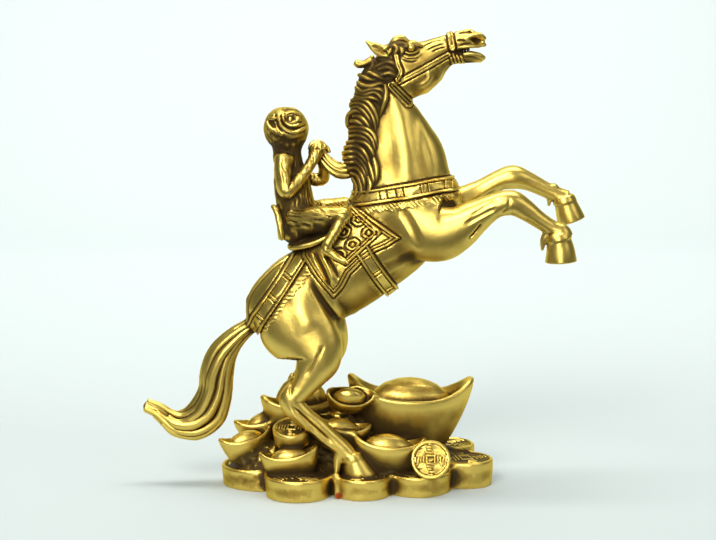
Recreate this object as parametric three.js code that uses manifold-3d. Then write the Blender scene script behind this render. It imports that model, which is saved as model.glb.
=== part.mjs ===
// A cast brass ornament: a monkey rides a rearing horse over a heap of coins and boat-shaped ingots.
// Millimetres, +Z up, +X the way the horse faces, origin in the middle of the underside.
import * as THREE from "three";
import { mergeVertices } from "three/addons/utils/BufferGeometryUtils.js";
import Module from "manifold-3d";

const wasm = await Module();
wasm.setup();

// Driving sizes
const FIGURE_HEIGHT = 257.5; // from the coin under the hooves to the top of the muzzle
const COIN_THICKNESS = 12; // the coins that the figure stands on
const BASE_LENGTH = 163;
const BASE_DEPTH = 96;
const COIN_RIM_WIDTH = 1.6;
const COIN_RIM_RISE = 0.9;
const LARGE_INGOT_LENGTH = 76;
const SMALL_INGOT_LENGTH = 38;
const STRAP_RISE = 0.9; // how far a harness strap stands off the hide
const CLOTH_RISE = 1.3; // how far the saddle cloth stands off the hide
const MANE_LOCKS = 20;
const TAIL_STRANDS = 6;

// The figure is drawn 257.5 mm high, and its stations scale with its height.
const DRAWN_HEIGHT = 257.5;
const SCALE = FIGURE_HEIGHT / DRAWN_HEIGHT;
const FOOTING = COIN_THICKNESS;

const DEGREE = Math.PI / 180;
const WELD = 1e-4; // corners nearer than this are one

const BRASS = { color: 0xb08d3c, roughness: 0.34, metalness: 1 };

// A station is x, y, z of a limb's middle, then its half depth seen from the side and its half width.
const TORSO = [
  [-57.5, 0, 84.5, 9.5, 8],
  [-51, 0, 94, 16, 14],
  [-39, 0, 101.5, 21, 19],
  [-25, 0, 107.5, 24, 21],
  [-9.5, 0, 117, 26, 22.5],
  [5, 0, 129, 27.5, 23],
  [19.5, 0, 141.5, 28, 22],
  [31.5, 0, 151, 24.5, 19],
  [44, 0, 157.5, 17.5, 15],
  [53, 0, 161.5, 11.5, 12],
];
const NECK = [
  [26, 0, 155.5, 27.5, 20],
  [25.5, 0, 170, 27.5, 16.5],
  [24, 0, 182, 26.5, 14],
  [20.5, 0, 193.5, 23, 12.5],
  [17.5, 0, 204, 20, 10.5],
  [15, 0, 213.5, 16.5, 9.5],
  [14.5, 0, 223, 15.3, 9],
  [16, 0, 232, 13, 8],
];
const SKULL = [
  [14, 0, 236, 8, 6],
  [20, 0, 236.5, 13, 8],
  [27, 0, 235.5, 14.5, 8.5],
  [37, 0, 239.5, 11.8, 7.2],
  [45, 0, 244.8, 8.8, 6],
  [52, 0, 248.2, 7, 5.4],
  [59, 0, 251.2, 5.8, 5],
  [65.5, 0, 252.2, 5, 5],
  [71, 0, 250.8, 3.2, 3.8],
];
const JAW = [
  [35, 0, 229.5, 9.8, 6],
  [46.5, 0, 236, 7, 4.9],
  [53, 0, 240.2, 3.6, 3.8],
  [60, 0, 241.3, 2.7, 3.4],
  [67, 0, 241.2, 2.3, 3],
  [71, 0, 240.8, 1.4, 2.4],
];
const NEAR_FORELEG = [
  [27, -13, 157.5, 15, 11],
  [38, -16, 145.5, 18.8, 12],
  [47.5, -18, 141.8, 17, 11.5],
  [57.5, -20, 145, 13.5, 9.5],
  [68.5, -21, 152, 9.7, 8],
  [78.5, -22, 157.8, 7.3, 6.5],
  [88, -22, 159.6, 7.3, 6.5],
  [95.5, -22, 156, 6.2, 5.3],
  [103.5, -22, 150.2, 5, 4.5],
  [111.5, -22, 145, 4.7, 4.2],
  [117, -22, 142.5, 5.3, 4.7],
  [119.3, -22, 139.5, 5, 4.7],
];
const NEAR_FORE_HOOF = [
  [115.5, -22, 139.6, 6.8, 6.2],
  [116.8, -22, 132, 8.2, 7.6],
  [117.2, -22, 125.6, 9.2, 8.2],
];
const FAR_FORELEG = [
  [34, 13, 143.5, 15, 11],
  [48.5, 17, 149, 14, 10.5],
  [62, 19, 155.4, 9.4, 8.2],
  [72.5, 20, 160.6, 7.3, 6.5],
  [83, 20, 167.2, 6.2, 6],
  [92, 20, 169.6, 7.1, 6.5],
  [101, 20, 167.2, 5.6, 5],
  [111, 20, 162.4, 4.7, 4.4],
  [119, 20, 158.8, 4.7, 4.4],
  [123, 20, 157, 5.3, 4.7],
];
const FAR_FORE_HOOF = [
  [122.8, 20, 156, 6.2, 5.8],
  [125.2, 20, 149, 7.6, 7.1],
  [127, 20, 143.6, 8.5, 7.6],
];
const NEAR_HIND_LEG = [
  [-45, -10, 102, 17, 9.5],
  [-36, -14, 87.5, 23, 12],
  [-27, -17, 75.5, 19, 11],
  [-24, -19.5, 67, 14.2, 9.4],
  [-27.5, -21.5, 59, 10, 7.1],
  [-33.5, -23, 50.4, 7.2, 5.6],
  [-39, -24, 43.5, 7, 5.3],
  [-32, -24.5, 34.7, 6.2, 4.7],
  [-24, -25, 28.9, 5.6, 4.4],
  [-16.3, -25, 21.7, 5.3, 4.4],
  [-9.3, -25, 15.4, 5.3, 4.7],
  [-4.5, -25, 10.6, 4.9, 4.7],
];
const NEAR_HIND_HOOF = [
  [-3.5, -25, 10.2, 5.8, 5.4],
  [0, -25, 4.6, 7.6, 7],
  [2.6, -25, -0.8, 9.2, 8.2],
];
// The tufts of hair behind the fetlocks, and the sheath under the belly.
const TUFTS = [
  [
    [113, -22, 145, 3, 3],
    [109, -22, 139, 2.6, 2.4],
    [109.4, -22, 132.4, 1, 1.2],
  ],
  [
    [119, 20, 160, 3, 3],
    [114, 20, 155, 2.6, 2.4],
    [112.6, 20, 149.6, 1, 1.2],
  ],
  [
    [-12, -25, 20, 3, 3],
    [-13, -25, 14, 2.6, 2.4],
    [-11.4, -25, 8, 1, 1.2],
  ],
];
const SHEATH = [
  [-9, 0, 97.5, 4, 4.4],
  [-3, 0, 95, 4.2, 4.4],
];
// The far hind leg repeats the near one a little forward of it and stands on the heap's far side.
const FAR_HIND_SHIFT = 3;
const TAIL = [
  [-60, 0, 86.5, 4.4, 4.2],
  [-66, 0, 82, 4.8, 4.7],
  [-73.5, 0, 75.5, 6.5, 5.9],
  [-80.5, 0, 66, 8.4, 7],
  [-83.8, 0, 55, 9.6, 7],
  [-85, 0, 43.5, 10, 7],
  [-89.5, 0, 31.5, 11.6, 7.4],
  [-98.5, 0, 24.6, 9.8, 7],
  [-108.5, 0, 24.8, 7.4, 6],
  [-118, 0, 31.6, 5.4, 4.7],
  [-125.5, 0, 35.2, 4.6, 4.1],
];
const HOOF_SEAT = 0.4; // how far a hoof goes into the coin's sunk face
const BODY_REACH = 40; // more than half the body's width
const HEAD_REACH = 16; // more than half the head's width, and short of the ears' far side
const SURFACE_TOLERANCE = 0.22;
const TORSO_SIDES = 18;
const NECK_SIDES = 16;
const LEG_SIDES = 10;
const HOOF_SIDES = 10;
const HEAD_SIDES = 14;
const JAW_SIDES = 10;
const SEAT_SIDES = 12;
const MONKEY_SIDES = 12;
const SHEATH_SIDES = 8;
const FINE_SIDES = 6;

// Base parts: x and y as shares of half the base's length and depth, radius and thickness share.
const FLAT_COINS = [
  [-0.73, 0.06, 23, 1],
  [-0.43, -0.56, 20.5, 1.05],
  [0.43, -0.32, 20.5, 1],
  [0.79, 0.03, 17, 1.3],
  [0.67, 0.6, 17, 1.5],
  [-0.52, 0.6, 19, 1],
  [0.28, 0.6, 19, 1],
];
const HOOF_COIN_RADIUS = 18;
const COIN_FOOT_SHARE = 0.94; // a coin is a little narrower at its foot
const COIN_SIDES = 16;
const COIN_SQUARE_SHARE = 0.2; // half the square in a coin's middle, as a share of its radius
const BAR_SHARE = 0.075; // how wide a raised stroke is, as a share of the coin's radius
const LEAST_BAR = 0.9;
// Strokes beside the square: way out, way along and length as shares of the radius, and half turns.
const COIN_STROKES = [
  [0.42, 0, 0.34, 0.5],
  [0.56, 0.08, 0.3, 0.4],
  [0.6, -0.14, 0.26, 1.1],
];
// Heaps that fill the middle: x, y, half length and half depth as shares, and height over the coins.
const HEAPS = [
  [0, 0.16, 0.82, 0.66, 14],
  [-0.16, 0.1, 0.42, 0.36, 31],
  [0.4, 0.2, 0.34, 0.4, 16],
];
const HEAP_RINGS = [
  [1, 0],
  [0.98, 0.4],
  [0.84, 0.78],
  [0.5, 1],
];
const HEAP_SIDES = 12;
const HEAP_CROWN = 1.05;

// Small ingots: x and y as shares, height over the coins, length share, turn and tilt in degrees,
// and how high the dome in the middle stands as a share of the height of the sides.
const SMALL_INGOTS = [
  [-0.77, -0.05, 1, 1, 14, -6, 1.34],
  [-0.64, 0.3, 10, 1.06, 10, -14, 1.3],
  [-0.5, -0.5, -3, 0.96, 0, -10, 1.34],
  [-0.46, 0.28, 16, 1.32, 8, -2, 1.9],
  [-0.09, -0.08, 31, 1.02, 6, 14, 1.6],
  [-0.13, -0.26, 15, 1.08, 4, 14, 1.34],
  [0.2, -0.38, -1, 1.1, 0, 6, 1.34],
  [-0.12, 0.66, 0, 1, 8, -4, 1.34],
];
const LARGE_INGOT = [0.37, 0.15, 7.5, 1, 2, 2, 1.44];
const INGOT_DEPTH_SHARE = 0.5;
const INGOT_HEIGHT_SHARE = 0.38;
const INGOT_TIP_SHARE = 0.18;
const INGOT_SIDES = 16;
// An ingot's rings from its foot over the rim to its dome: half length, half depth, height, tip rise.
const INGOT_RINGS = [
  [0.3, 0.34, 0, 0],
  [0.4, 0.46, 0.45, 0.35],
  [0.5, 0.5, 1, 1],
  [0.465, 0.44, 1, 0.95],
  [0.36, 0.38, 0.82, 0.1],
];
// The dome's rings: half length and depth, and the share of the way from the deck to the dome's top.
const DOME_RINGS = [
  [0.29, 0.32, 0.62],
  [0.17, 0.19, 0.92],
];
const DECK_SHARE = 0.82;

// The coin that leans at the front right, and the thick one that lies tilted on the front left ingot.
const LEANING_COIN = { u: 0.52, v: -0.58, lift: 9, radius: 11.6, thickness: 3.4, lean: 66, turn: 0 };
const TILTED_COIN = { u: -0.47, v: -0.3, lift: 18, radius: 11.5, thickness: 9.5, lean: 20, turn: -10 };

function toSolid(geometry) {
  const bare = geometry.index ? geometry.clone() : geometry;
  for (const name of ["normal", "uv"]) {
    bare.deleteAttribute(name);
  }
  const merged = mergeVertices(bare, WELD);
  const corners = merged.index.array;
  const kept = [];
  for (let i = 0; i < corners.length; i += 3) {
    const [a, b, c] = [corners[i], corners[i + 1], corners[i + 2]];
    if (a !== b && b !== c && a !== c) {
      kept.push(a, b, c);
    }
  }
  const vertProperties = new Float32Array(merged.attributes.position.array);
  const triVerts = new Uint32Array(kept);
  return new wasm.Manifold(new wasm.Mesh({ numProp: 3, vertProperties, triVerts }));
}

function toGeometry(solid) {
  const mesh = solid.getMesh();
  const geometry = new THREE.BufferGeometry();
  geometry.setAttribute("position", new THREE.BufferAttribute(new Float32Array(mesh.vertProperties), 3));
  geometry.setIndex(new THREE.BufferAttribute(new Uint32Array(mesh.triVerts), 1));
  geometry.computeVertexNormals();
  return geometry;
}

function join(solids) {
  return solids.reduce((whole, solid) => whole.add(solid));
}

// Drops the inward skins that overlapping limbs leave around closed hollows, so that those are solid.
function withoutHollows(geometry) {
  const corners = geometry.index.array;
  const owner = Array.from({ length: geometry.attributes.position.count }, (_, i) => i);
  const root = (i) => {
    let at = i;
    while (owner[at] !== at) {
      owner[at] = owner[owner[at]];
      at = owner[at];
    }
    return at;
  };
  for (let i = 0; i < corners.length; i += 3) {
    owner[root(corners[i])] = root(corners[i + 1]);
    owner[root(corners[i + 1])] = root(corners[i + 2]);
  }
  const position = geometry.attributes.position;
  const point = (i) => new THREE.Vector3().fromBufferAttribute(position, i);
  const volumes = new Map();
  for (let i = 0; i < corners.length; i += 3) {
    const [a, b, c] = [corners[i], corners[i + 1], corners[i + 2]].map(point);
    const key = root(corners[i]);
    volumes.set(key, (volumes.get(key) ?? 0) + a.dot(b.cross(c)));
  }
  const kept = [];
  for (let i = 0; i < corners.length; i += 3) {
    if (volumes.get(root(corners[i])) > 0) {
      kept.push(corners[i], corners[i + 1], corners[i + 2]);
    }
  }
  const filled = new THREE.BufferGeometry();
  filled.setAttribute("position", position);
  filled.setIndex(kept);
  filled.computeVertexNormals();
  return filled;
}

function signedVolume(points, faces) {
  const turned = new THREE.Vector3();
  let sum = 0;
  for (const [a, b, c] of faces) {
    sum += points[a].dot(turned.crossVectors(points[b], points[c]));
  }
  return sum;
}

// A closed skin over rings of points, with a fan to a point at each end.
function skin(rings, first, last) {
  const sides = rings[0].length;
  const points = rings.flat().concat([first, last]);
  const firstIndex = points.length - 2;
  const lastIndex = points.length - 1;
  const top = (rings.length - 1) * sides;
  const faces = [];
  for (let side = 0; side < sides; side += 1) {
    const next = (side + 1) % sides;
    faces.push([firstIndex, next, side]);
    faces.push([lastIndex, top + side, top + next]);
    for (let ring = 0; ring < rings.length - 1; ring += 1) {
      const low = ring * sides;
      const high = low + sides;
      faces.push([low + side, low + next, high + next]);
      faces.push([low + side, high + next, high + side]);
    }
  }
  const inward = signedVolume(points, faces) < 0;
  const index = faces.flatMap(([a, b, c]) => (inward ? [a, c, b] : [a, b, c]));
  const flat = points.flatMap((p) => p.toArray());
  const geometry = new THREE.BufferGeometry();
  geometry.setAttribute("position", new THREE.Float32BufferAttribute(flat, 3));
  geometry.setIndex(index);
  return geometry;
}

function place(x, y, z) {
  return new THREE.Vector3(x * SCALE, y * SCALE, FOOTING + z * SCALE);
}

// A ring of points around a limb, its radii scaled at each angle by the flute function.
function ring(middle, along, depth, width, sides, flute) {
  const across = new THREE.Vector3(0, 1, 0);
  const up = new THREE.Vector3().crossVectors(across, along).normalize();
  const side = new THREE.Vector3().crossVectors(along, up).normalize();
  return Array.from({ length: sides }, (_, k) => {
    const angle = (2 * Math.PI * (k + 0.5)) / sides;
    const share = flute(angle, k);
    const point = middle.clone();
    point.addScaledVector(up, share * depth * Math.cos(angle));
    return point.addScaledVector(side, share * width * Math.sin(angle));
  });
}

// Merges a corner into its neighbour wherever that moves the surface by less than the tolerance.
function simplified(geometry, tolerance) {
  const LEAST_NORMAL_MATCH = 0.35;
  const LEAST_SHAPE = 0.02; // the height of a face over its longest edge, so that no sliver is made
  const position = geometry.attributes.position;
  const pointAt = (i) => new THREE.Vector3().fromBufferAttribute(position, i);
  const points = Array.from({ length: position.count }, (_, i) => pointAt(i));
  const faces = [];
  const around = points.map(() => new Set());
  for (let i = 0; i < geometry.index.count; i += 3) {
    const face = [0, 1, 2].map((j) => geometry.index.getX(i + j));
    face.forEach((corner) => around[corner].add(faces.length));
    faces.push(face);
  }
  const moved = new Float64Array(points.length);
  const [u, v] = [new THREE.Vector3(), new THREE.Vector3()];
  const cross = (a, b, c) => new THREE.Vector3().crossVectors(u.subVectors(b, a), v.subVectors(c, a));
  const longest = (a, b, c) => Math.max(a.distanceTo(b), b.distanceTo(c), c.distanceTo(a));
  const neighbours = (i) => {
    const corners = [...around[i]].flatMap((f) => faces[f]);
    return new Set(corners.filter((corner) => corner !== i));
  };
  const cost = (from, to) => {
    let worst = 0;
    for (const f of around[from]) {
      const corners = faces[f];
      const before = corners.map((corner) => points[corner]);
      const old = cross(...before);
      const area = old.length();
      if (area > 0) {
        const height = Math.abs(u.subVectors(points[to], points[from]).dot(old)) / area;
        worst = Math.max(worst, height);
      }
      if (!corners.includes(to)) {
        const after = corners.map((corner) => points[corner === from ? to : corner]);
        const fresh = cross(...after);
        const freshArea = fresh.length();
        const reach = longest(...after);
        const wasSliver = area < LEAST_SHAPE * longest(...before) ** 2;
        if (freshArea < LEAST_SHAPE * reach ** 2) {
          return Infinity;
        }
        if (!wasSliver && fresh.dot(old) < LEAST_NORMAL_MATCH * area * freshArea) {
          return Infinity;
        }
      }
    }
    return worst;
  };
  let changed = true;
  while (changed) {
    changed = false;
    for (let from = 0; from < points.length; from += 1) {
      if (around[from].size === 0) {
        continue;
      }
      const near = neighbours(from);
      let best = [tolerance, -1];
      for (const to of near) {
        const total = moved[from] + cost(from, to);
        if (total < best[0] && [...neighbours(to)].filter((corner) => near.has(corner)).length === 2) {
          best = [total, to];
        }
      }
      const [total, to] = best;
      if (to < 0) {
        continue;
      }
      for (const f of [...around[from]]) {
        const corners = faces[f];
        if (corners.includes(to)) {
          corners.forEach((corner) => around[corner].delete(f));
          faces[f] = null;
        } else {
          corners[corners.indexOf(from)] = to;
          around[to].add(f);
        }
      }
      around[from].clear();
      moved[to] = Math.max(moved[to], total);
      changed = true;
    }
  }
  const lighter = new THREE.BufferGeometry();
  lighter.setAttribute("position", position);
  lighter.setIndex(faces.filter((face) => face).flat());
  return mergeVertices(lighter.toNonIndexed(), WELD / 10);
}

// A limb: elliptical rings square to the line through its stations. Round ends stand past the line.
function limb(stations, sides, { roundStart, roundEnd, swell = 0, flute = () => 1 } = {}) {
  const CAP_REACH = 0.55;
  const CAP_SHRINK = 0.66;
  const CAP_TIP = 0.8;
  const middles = stations.map(([x, y, z]) => place(x, y, z));
  const finish = stations.length - 1;
  const headings = middles.map((_, i) => {
    const before = middles[Math.max(i - 1, 0)];
    const after = middles[Math.min(i + 1, finish)];
    return after.clone().sub(before).normalize();
  });
  const rings = stations.map(([, , , depth, width], i) =>
    ring(middles[i], headings[i], depth * SCALE + swell, width * SCALE + swell, sides, flute),
  );
  const tips = [middles[0], middles[finish]];
  const round = (i, sign) => {
    const depth = stations[i][3] * SCALE + swell;
    const width = stations[i][4] * SCALE + swell;
    const reach = sign * Math.min(depth, width);
    const shoulder = middles[i].clone().addScaledVector(headings[i], reach * CAP_REACH);
    const cap = ring(shoulder, headings[i], depth * CAP_SHRINK, width * CAP_SHRINK, sides, flute);
    return [cap, middles[i].clone().addScaledVector(headings[i], reach * CAP_TIP)];
  };
  if (roundEnd) {
    const [cap, tip] = round(finish, 1);
    rings.push(cap);
    tips[1] = tip;
  }
  if (roundStart) {
    const [cap, tip] = round(0, -1);
    rings.unshift(cap);
    tips[0] = tip;
  }
  return toSolid(skin(rings, ...tips));
}

// How far a limb's side stands out from the middle plane at a drawn x and z.
function flank(stations, x, z) {
  let best = 0;
  for (let i = 0; i < stations.length - 1; i += 1) {
    const [ax, , az, ar, aw] = stations[i];
    const [bx, , bz, br, bw] = stations[i + 1];
    const run = [bx - ax, bz - az];
    const reach = run[0] ** 2 + run[1] ** 2;
    const share = THREE.MathUtils.clamp(((x - ax) * run[0] + (z - az) * run[1]) / reach, 0, 1);
    const off = Math.hypot(x - ax - share * run[0], z - az - share * run[1]);
    const depth = ar + share * (br - ar);
    const width = aw + share * (bw - aw);
    best = Math.max(best, width * Math.sqrt(Math.max(0, 1 - (off / depth) ** 2)));
  }
  return best;
}

// A flat outline in x and z, drawn through the figure for the reach on each side of its middle.
function slab(outline, reach = BODY_REACH) {
  const shape = new THREE.Shape(outline.map(([x, z]) => new THREE.Vector2(x * SCALE, z * SCALE)));
  const depth = 2 * reach * SCALE;
  const geometry = new THREE.ExtrudeGeometry(shape, { depth, bevelEnabled: false });
  geometry.rotateX(Math.PI / 2);
  geometry.translate(0, depth / 2, FOOTING);
  return toSolid(geometry);
}

// A band's outline between two points, wide on both sides of the line.
function band([ax, az], [bx, bz], width) {
  const length = Math.hypot(bx - ax, bz - az);
  const nx = (-(bz - az) / length) * (width / 2);
  const nz = ((bx - ax) / length) * (width / 2);
  return [
    [ax + nx, az + nz],
    [ax - nx, az - nz],
    [bx - nx, bz - nz],
    [bx + nx, bz + nz],
  ];
}

// The torso and neck, or a shell that stands off them by the rise.
function bodyShell(rise) {
  const torso = limb(TORSO, TORSO_SIDES, { swell: rise, roundStart: true, roundEnd: true });
  return torso.add(limb(NECK, NECK_SIDES, { swell: rise }));
}

function mirrored(stations, shift = 0) {
  return stations.map(([x, y, z, depth, width]) => [x + shift, -y, z, depth, width]);
}

// The last hoof station goes down through the coin's sunk face, to stand in it and not over it.
function grounded(hoof) {
  const sink = (COIN_RIM_RISE + HOOF_SEAT) / SCALE;
  const [x, y, , depth, width] = hoof[hoof.length - 1];
  return [...hoof.slice(0, -1), [x, y, -sink, depth, width]];
}

function legs() {
  const farHind = mirrored(NEAR_HIND_LEG, FAR_HIND_SHIFT);
  const farHindHoof = mirrored(NEAR_HIND_HOOF, FAR_HIND_SHIFT);
  const bones = [NEAR_FORELEG, FAR_FORELEG, NEAR_HIND_LEG, farHind];
  const hooves = [NEAR_FORE_HOOF, FAR_FORE_HOOF, grounded(NEAR_HIND_HOOF), grounded(farHindHoof)];
  return [
    ...bones.map((bone) => limb(bone, LEG_SIDES, { roundEnd: true })),
    ...hooves.map((hoof) => limb(hoof, HOOF_SIDES)),
    ...TUFTS.map((tuft) => limb(tuft, FINE_SIDES)),
    limb(SHEATH, SHEATH_SIDES, { roundStart: true, roundEnd: true }),
  ];
}

// The tail is one ribbon whose sides are fluted into strands.
function tail() {
  const FLUTE_DEPTH = 0.13;
  const flute = (_, k) => 1 - (k % 2 === 0 ? 0 : FLUTE_DEPTH);
  return limb(TAIL, 4 * TAIL_STRANDS, { roundEnd: true, flute });
}

// The crest that the mane grows from, from the poll down to the withers.
const CREST = [
  [1.5, 234],
  [-2, 226],
  [-4.4, 218],
  [-4.2, 210],
  [-5, 203],
  [-5.4, 194.5],
  [-8.2, 188],
  [-8.8, 180],
  [-4.6, 172],
  [-4.4, 162],
  [-6, 155],
];
// A lock's course from the crest over and down the neck: x and z from its start, and how thick it lies.
const LOCK = [
  [-0.6, -1, 0.8],
  [3, 1, 2],
  [8, 0, 2.2],
  [12, -4.5, 1.9],
  [14.5, -11, 1.2],
];

// The mane is one skin: its rows run along the crest, high on the locks and low between them.
function mane() {
  const crest = new THREE.CatmullRomCurve3(CREST.map(([x, z]) => new THREE.Vector3(x, 0, z)));
  const GROOVE = 0.35;
  const GROOVE_REACH = 0.9;
  const SUNK = 3;
  const rows = 2 * MANE_LOCKS;
  const rings = [];
  for (let row = 0; row <= rows; row += 1) {
    const start = crest.getPointAt(row / rows);
    const [lift, reach] = row % 2 === 0 ? [1, 1] : [GROOVE, GROOVE_REACH];
    const outer = (side) =>
      LOCK.map(([dx, dz, thick]) => {
        const [x, z] = [start.x + dx * reach, start.z + dz];
        const hide = Math.max(flank(NECK, x, z), flank(TORSO, x, z));
        return place(x, side * (hide + thick * lift), z);
      });
    const inner = (side) => {
      const [dx, dz] = LOCK[LOCK.length - 1];
      const [x, z] = [start.x + dx, start.z + dz];
      const hide = Math.max(flank(NECK, x, z), flank(TORSO, x, z));
      return place(x - SUNK, side * (hide - SUNK), z + SUNK);
    };
    rings.push([inner(1), ...outer(1).reverse(), ...outer(-1), inner(-1)]);
  }
  const middle = (points) => {
    const sum = points.reduce((total, p) => total.add(p), new THREE.Vector3());
    return sum.divideScalar(points.length);
  };
  const topCurl = [
    [8, -1, 231, 3, 3],
    [3, -1, 235.4, 2.6, 3],
    [-1.5, -1, 236.4, 2, 2.4],
  ];
  return [
    toSolid(skin(rings, middle(rings[0]), middle(rings[rings.length - 1]))),
    limb(topCurl, FINE_SIDES, { roundEnd: true }),
  ];
}

function ear(side, lean) {
  const ROOT = 238;
  const leaf = [
    [19, 4.6, 240, 3.6, 2.6],
    [14, 5.6, 244, 4.4, 2],
    [9, 6.4, 247.4, 3.4, 1.6],
    [5.2, 6.8, 250, 1.2, 0.9],
  ];
  const stations = leaf.map(([x, y, z, ...size]) => [x + lean * (z - ROOT), side * y, z, ...size]);
  return limb(stations, FINE_SIDES);
}

function head() {
  const FAR_EAR_LEAN = 1.1;
  const parts = [
    limb(SKULL, HEAD_SIDES, { roundEnd: true }),
    limb(JAW, JAW_SIDES, { roundEnd: true }),
    ear(-1, 0),
    ear(1, FAR_EAR_LEAN),
  ];
  for (const side of [-1, 1]) {
    const brow = [
      [27, side * 5.6, 245, 1.6, 1.6],
      [31, side * 6, 246.6, 2, 2.2],
      [36, side * 5.2, 245.6, 1.3, 1.4],
    ];
    const nostril = [
      [64, side * 4.2, 253.6, 1.4, 1.2],
      [69, side * 4.6, 254.2, 1.5, 1.3],
      [72, side * 4, 251.6, 1.3, 1.2],
    ];
    parts.push(limb(brow, FINE_SIDES), limb(nostril, FINE_SIDES));
  }
  const forelock = [
    [17, 0, 246, 3, 4],
    [22, 0, 250, 3, 4],
    [27, 0, 251.5, 2, 3],
    [31, 0, 250, 1, 1.6],
  ];
  parts.push(limb(forelock, FINE_SIDES));
  return parts;
}

// Bands of the bridle, cut from a slightly larger head so that they lie on it.
function bridle() {
  const rise = STRAP_RISE;
  const shell = limb(SKULL, HEAD_SIDES, { swell: rise }).add(limb(JAW, JAW_SIDES, { swell: rise }));
  const throat = limb(NECK, NECK_SIDES, { swell: rise }).add(shell);
  const cuts = [
    [shell, band([24, 228.5], [54.5, 245], 2.6)],
    [shell, band([51.5, 257], [54.5, 243], 3.4)],
    [shell, band([53.5, 245], [59.5, 235], 5)],
    [shell, band([17.5, 243], [24, 228], 2.6)],
    [throat, band([19, 226], [33, 211], 4)],
  ];
  return cuts.map(([from, outline]) => from.intersect(slab(outline, HEAD_REACH)));
}

function harness() {
  const strap = bodyShell(STRAP_RISE).add(limb(FAR_FORELEG, LEG_SIDES, { swell: STRAP_RISE }));
  const collar = [
    [5, 163.5],
    [10, 165],
    [25, 167],
    [42, 170.5],
    [62, 172],
    [68, 160],
    [48, 161.5],
    [25, 160],
    [4, 157],
  ];
  return [
    strap.intersect(slab(collar)),
    strap.intersect(slab(band([0, 133], [22, 100.5], 8.4))),
    strap.intersect(slab(band([-33, 129], [-56.5, 89], 4.4))),
    strap.intersect(slab(band([-39, 128], [-64, 86], 4.6))),
  ];
}

function saddle() {
  const under = bodyShell(CLOTH_RISE);
  const upper = bodyShell(2 * CLOTH_RISE);
  const stud = bodyShell(3 * CLOTH_RISE);
  const underCloth = [
    [-6, 158],
    [24, 136.5],
    [17, 131],
    [10, 128.5],
    [1, 121],
    [-5, 116],
    [-9, 108],
    [-14.5, 101.5],
    [-24, 114],
    [-33, 127],
    [-34, 135],
  ];
  const upperCloth = [
    [-4, 156],
    [14, 139.8],
    [-9, 122.3],
    [-22, 133],
    [-18, 140],
  ];
  const diamonds = [
    [-1, 147.5],
    [4.5, 140.5],
    [-3.6, 133],
    [-8.5, 140],
    [-11.5, 128],
  ];
  const HALF_DIAMOND = 3;
  const parts = [under.intersect(slab(underCloth)), upper.intersect(slab(upperCloth))];
  for (const [x, z] of diamonds) {
    parts.push(stud.intersect(slab(band([x - HALF_DIAMOND, z], [x + HALF_DIAMOND, z], HALF_DIAMOND))));
  }
  const seat = [
    [-40, 0, 131, 1.8, 7],
    [-34, 0, 133, 2.6, 12],
    [-24, 0, 136, 4, 14],
    [-12, 0, 142, 5, 15],
    [-2, 0, 150, 5, 13],
    [0, 0, 157, 3.4, 8],
  ];
  parts.push(limb(seat, SEAT_SIDES, { roundStart: true }));
  return parts;
}

const MONKEY_BODY = [
  [-42, 0, 194, 6, 6.4],
  [-41, 0, 189, 5.9, 6],
  [-40.8, 0, 182, 8, 8.6],
  [-39, 0, 170, 10.3, 10],
  [-37, 0, 158.5, 11.2, 10.6],
  [-35.7, 0, 148, 11.8, 11.8],
  [-36.4, 0, 140, 9.6, 10.6],
];
const MONKEY_SKULL = [
  [-48.5, 0, 201.5, 6.5, 7],
  [-45, 0, 202, 10, 10.4],
  [-40, 0, 201.6, 11.8, 11.4],
  [-35, 0, 200, 9, 9],
  [-31.5, 0, 199.6, 5.6, 6.6],
];
const MONKEY_THIGH = [
  [-35.5, -7, 146, 8.2, 7],
  [-23, -15, 149.5, 7.3, 6],
  [-12.5, -20, 152, 5.3, 5],
  [-7.5, -22, 153, 4.2, 4.2],
];
const MONKEY_SHIN = [
  [-7.5, -22, 154, 4, 3.6],
  [-12, -23.5, 145.5, 3.3, 3.2],
  [-17, -24.5, 137, 3, 2.9],
  [-18.5, -24.5, 132.5, 3, 2.9],
];
const MONKEY_FOOT = [
  [-18.6, -24.5, 132.4, 2.7, 2.6],
  [-13, -25, 129, 2.4, 2.7],
  [-8, -25.5, 126, 1.8, 2.4],
];
const MONKEY_NEAR_ARM = [
  [-42, -8.5, 181.5, 5, 4.7],
  [-42, -11.5, 173, 4.1, 3.8],
  [-40, -12.5, 166, 3.9, 3.5],
  [-33, -10, 173, 3.2, 3],
  [-26.5, -5, 182, 3, 2.9],
  [-24, -2.5, 188, 4.4, 3.6],
];
const MONKEY_FAR_ARM = [
  [-38.5, 8.5, 179.5, 4.7, 4.5],
  [-29.5, 10.5, 170.5, 3.8, 3.5],
  [-20.8, 10.5, 170, 3.8, 3.5],
  [-20.5, 7, 178, 3, 2.9],
  [-22, 2.5, 185.5, 4, 3.6],
];
const REIN = [
  [-22, 1, 186, 3, 1.8],
  [-18, -1, 178, 3.2, 1.8],
  [-13, -2, 173.5, 3.2, 1.8],
  [-7, -2, 174, 2.8, 1.8],
  [-3, -2, 177, 2.4, 1.8],
];
const MONKEY_TAIL = [
  [-49, 0, 154, 1.8, 1.8],
  [-45.5, -1, 150, 1.9, 2],
  [-44, -2, 143, 1.9, 2],
  [-42.5, -2, 138, 2.4, 2.4],
];

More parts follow.
